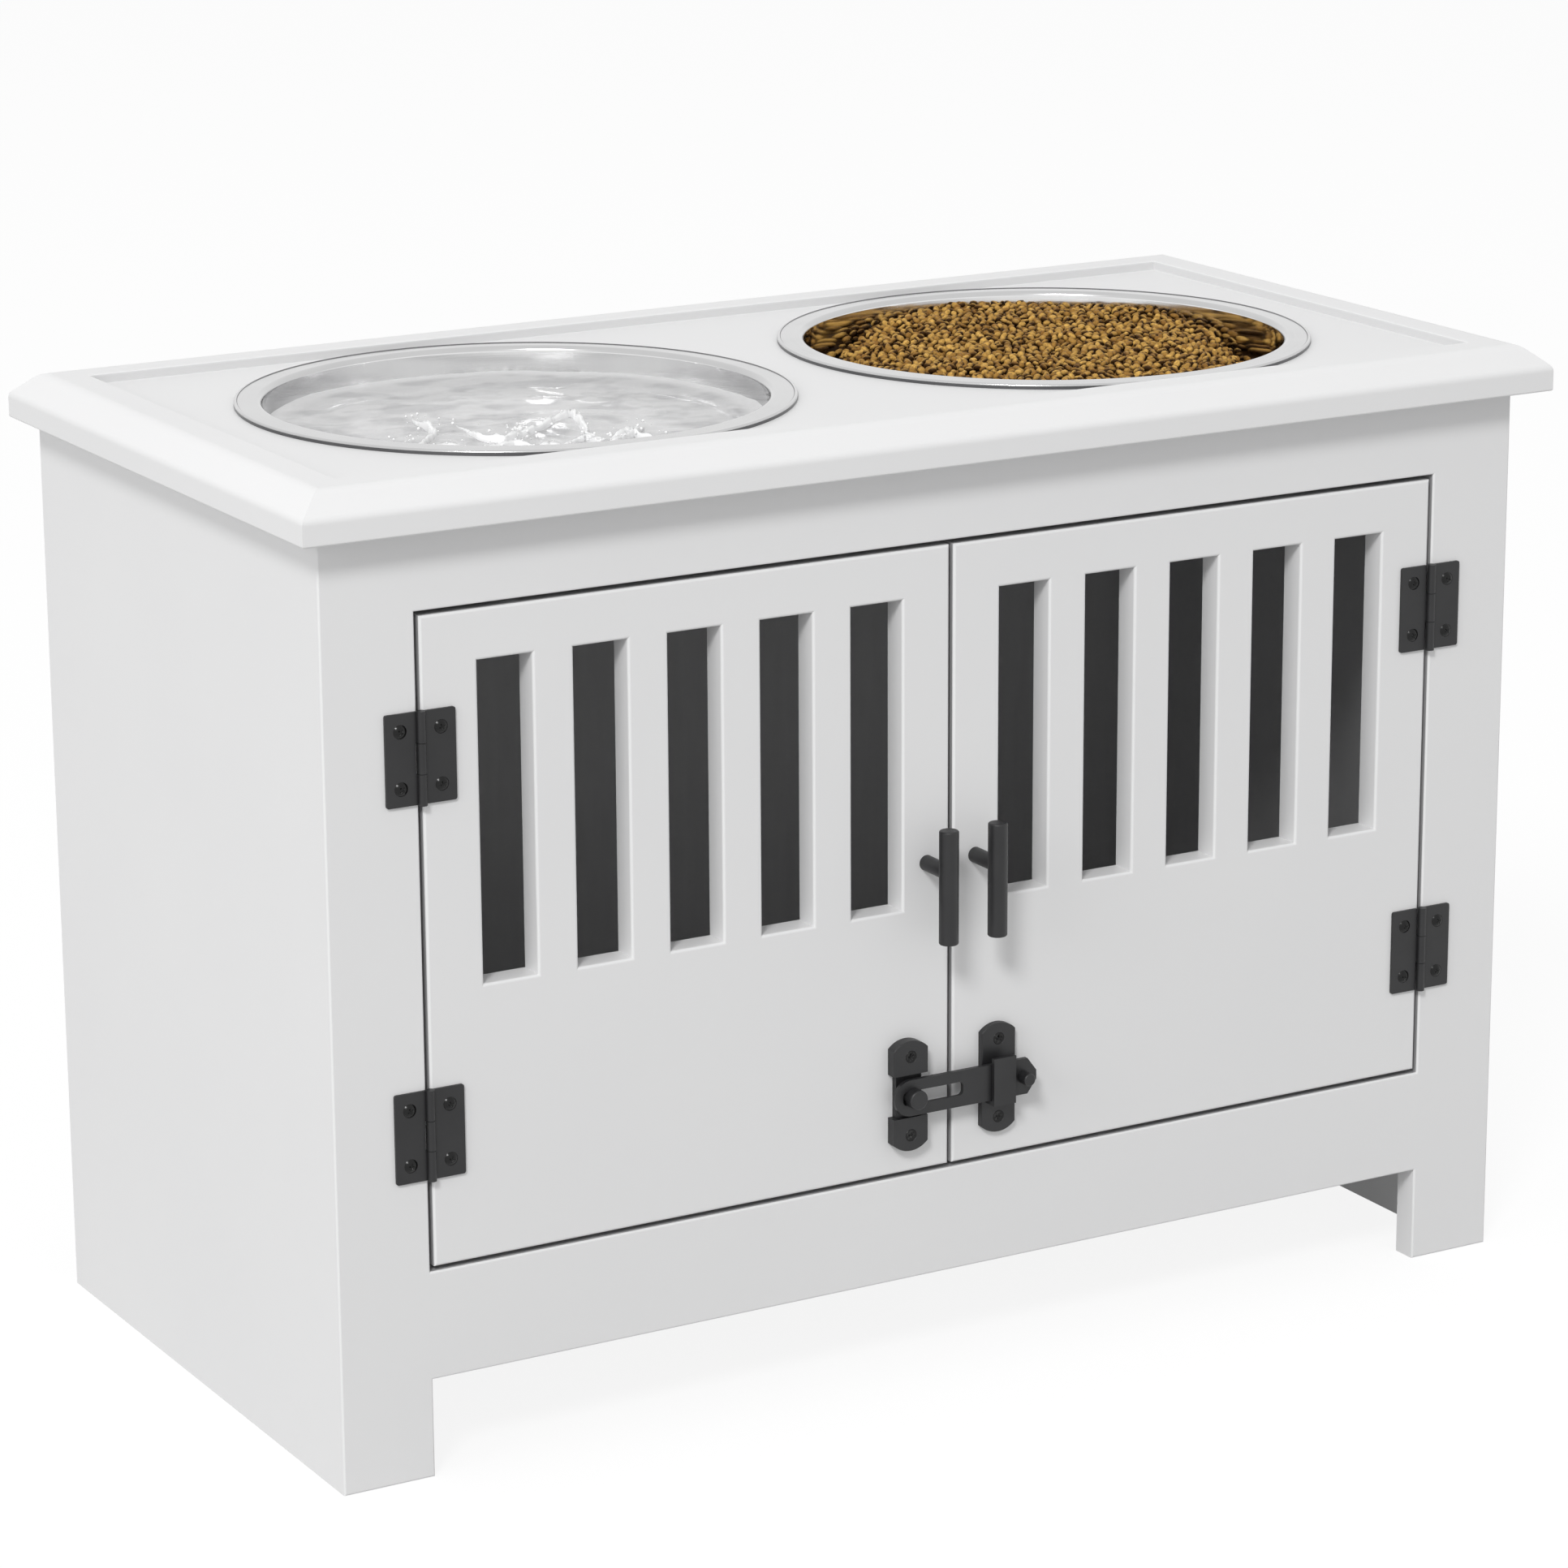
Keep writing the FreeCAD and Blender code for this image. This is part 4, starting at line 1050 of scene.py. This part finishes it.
# Low and high corners of each screw in a node, read off a merged copy of its mesh
def screwBoxes(node):
    made = bmesh.new()
    made.from_mesh(nodes[node].data)
    bmesh.ops.remove_doubles(made, verts=made.verts, dist=0.001 * mm)
    boxes = []
    left = set(made.verts)
    while left:
        edge = [left.pop()]
        places = []
        while edge:
            vert = edge.pop()
            places.append(vert.co.copy())
            for link in vert.link_edges:
                other = link.other_vert(vert)
                if other in left:
                    left.remove(other)
                    edge.append(other)
        boxes.append([Vector([pick(place[axis] for place in places) for axis in range(3)])
                      for pick in (min, max)])
    made.free()
    return sorted(boxes, key=lambda pair: (round(pair[0].z, 5), pair[0].x))


# A screw with its head up: the seat of a round head, or the face of a flat one, is at zero
def screwPattern(radius, length, flat):
    shank, tip = screws["shankRadius"], screws["tipRadius"]
    if flat:
        edge = screws["edge"]
        path = [(0, 0), (radius - edge, 0), (radius, -edge), (shank, -screws["flatDepth"])]
        crown = 0.0
    else:
        crown = screws["headHeight"]
        ball = (radius ** 2 + crown ** 2) / (2 * crown)
        widest = math.asin(radius / ball)
        path = []
        for step in range(screws["domeSteps"] + 1):
            angle = widest * step / screws["domeSteps"]
            path.append((ball * math.sin(angle), crown - ball + ball * math.cos(angle)))
        path += [(shank, 0)]
    end = crown - length
    path += [(shank, end + shank), (tip, end), (0, end)]
    screw = lathe("screwPattern", [Vector(point) for point in path], Vector((0, 0, 0)), screws["segments"],
                  screwBlack, 30)
    cutter = bmesh.new()
    half = screws["crossDepth"]
    for turn in (0, math.pi / 2):
        arm = bmesh.ops.create_cube(cutter, size=1.0)["verts"]
        for vert in arm:
            taper = screws["crossTaper"] if vert.co.z < 0 else 1.0
            vert.co = Vector((vert.co.x * screws["crossLength"] * taper,
                              vert.co.y * screws["crossWidth"] * taper, crown + 2 * half * vert.co.z))
        bmesh.ops.rotate(cutter, verts=arm, matrix=Matrix.Rotation(turn, 3, "Z"))
    cross = finishMesh("crossPattern", cutter)
    cut = screw.modifiers.new("cross", "BOOLEAN")
    cut.object = cross
    cut.operation = "DIFFERENCE"
    cut.use_self = True
    settle(screw)
    bpy.data.objects.remove(cross)
    return screw


def screwTree():
    tree, given = startTree("screwTree", Object=["screw"], Float=["lean", "turn"], Int=["seed"])
    screw = addNode(tree, "GeometryNodeObjectInfo", {"Object": given["screw"]}).outputs["Geometry"]
    low = joinVector(tree, given["lean"], calculate(tree, "MULTIPLY", given["turn"], -1.0))
    turned = randomVector(tree, low, joinVector(tree, given["lean"], given["turn"]), given["seed"])
    placed = addNode(tree, "GeometryNodeInstanceOnPoints",
                     {"Points": given["Geometry"], "Instance": screw, "Rotation": turned})
    endTree(tree, placed.outputs["Instances"], given["material"])
    return tree


def setScrews(node, body, tree, material, flat=False, fromBack=False):
    boxes = screwBoxes(node)
    low, high = boxes[0]
    pattern = screwPattern((high.x - low.x) / 2, high.y - low.y, flat)
    seat = 0.0 if flat else screws["headHeight"]
    made = bmesh.new()
    for low, high in boxes:
        middle = (low + high) / 2
        made.verts.new((middle.x, high.y - seat if fromBack else low.y + seat, middle.z))
    piece = finishMesh("turned_" + node, made)
    lean = -math.pi / 2 if fromBack else math.pi / 2
    growTree(piece, tree, {**screws, "screw": pattern, "lean": lean, "material": material})
    bpy.data.objects.remove(pattern)
    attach(piece, body)
    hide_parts(node)


heads = screwTree()
for part, body in (("frame", "cabinet"), ("door_left", "door_left"), ("door_right", "door_right")):
    setScrews("hinge_screws_" + part, body, heads, screwBlack)
setScrews("latch_base_screws", "door_left", heads, screwBlack, flat=True)
setScrews("latch_catch_screws", "door_right", heads, screwBlack, flat=True)
setScrews("back_panel_screws", "cabinet", heads, screwZinc, fromBack=True)
print("screws set")


# Floor, backdrop and light
studio = {
    "floorColour": grey(0.50),
    "floorSize": 40.0,
    "floorShow": 0.88,            # white that the floor shows of itself, before what falls on it
    "floorShadow": 0.14,          # how much of the floor's own shading shows
    "skyLight": 0.515,
    "aim": (0.0, 0.0, 0.2),
}

# Place, size and power of each lamp; only the key shows in gloss
lamps = {
    "keyLamp": ((-4.23, -4.45, 5.32), 1.75, 272.0),
    "leftLamp": ((-5.9, -1.7, 2.4), 2.8, 65.0),
    "topLamp": ((0.0, 0.3, 4.5), 2.5, 13.5),
    "frontLamp": ((-1.0, -6.0, 0.9), 3.0, 10.0),
}


# One for camera, glossy and transmission rays, which all see the same white background
def directlySeen(tree):
    path = addNode(tree, "ShaderNodeLightPath").outputs
    seen = calculate(tree, "MAXIMUM", path["Is Camera Ray"], path["Is Glossy Ray"])
    return calculate(tree, "MAXIMUM", seen, path["Is Transmission Ray"])


def makeFloor():
    half = studio["floorSize"] / 2
    made = bmesh.new()
    corners = ((-half, -half), (half, -half), (half, half), (-half, half))
    made.faces.new([made.verts.new((x, y, cadLow.z)) for x, y in corners])
    material, tree = newMaterial("floorWhite")[:2]
    tree.nodes.clear()
    plain = addNode(tree, "ShaderNodeBsdfDiffuse", {"Color": studio["floorColour"]})
    faint = addNode(tree, "ShaderNodeBsdfDiffuse", {"Color": grey(studio["floorShadow"])})
    glow = addNode(tree, "ShaderNodeEmission", {"Color": grey(1.0), "Strength": studio["floorShow"]})
    shown = addNode(tree, "ShaderNodeAddShader", {0: faint.outputs["BSDF"], 1: glow.outputs["Emission"]})
    mix = addNode(tree, "ShaderNodeMixShader", {"Fac": directlySeen(tree), 1: plain.outputs["BSDF"],
                                                2: shown.outputs["Shader"]})
    addNode(tree, "ShaderNodeOutputMaterial", {"Surface": mix.outputs["Shader"]})
    floor = finishMesh("floor", made, [material])


def makeWorld():
    world = bpy.data.worlds.new("studio")
    world.use_nodes = True
    bpy.context.scene.world = world
    tree = world.node_tree
    tree.nodes.clear()
    strength = spread(tree, directlySeen(tree), studio["skyLight"], 1.0)
    sky = addNode(tree, "ShaderNodeBackground", {"Color": grey(1.0), "Strength": strength})
    addNode(tree, "ShaderNodeOutputWorld", {"Surface": sky.outputs["Background"]})


def makeLamp(name, place, size, power):
    data = bpy.data.lights.new(name, "AREA")
    data.shape = "DISK"
    data.size = size
    data.energy = power
    lamp = addObject(name, data)
    lamp.location = place
    lamp.visible_glossy = name == "keyLamp"
    lamp.rotation_euler = (Vector(studio["aim"]) - Vector(place)).to_track_quat("-Z", "Y").to_euler()


makeCamera(cameraView)
makeFloor()
makeWorld()
for name, (place, size, power) in lamps.items():
    makeLamp(name, place, size, power)
bpy.context.scene.view_settings.view_transform = "Standard"
print("camera, floor and lamps set")
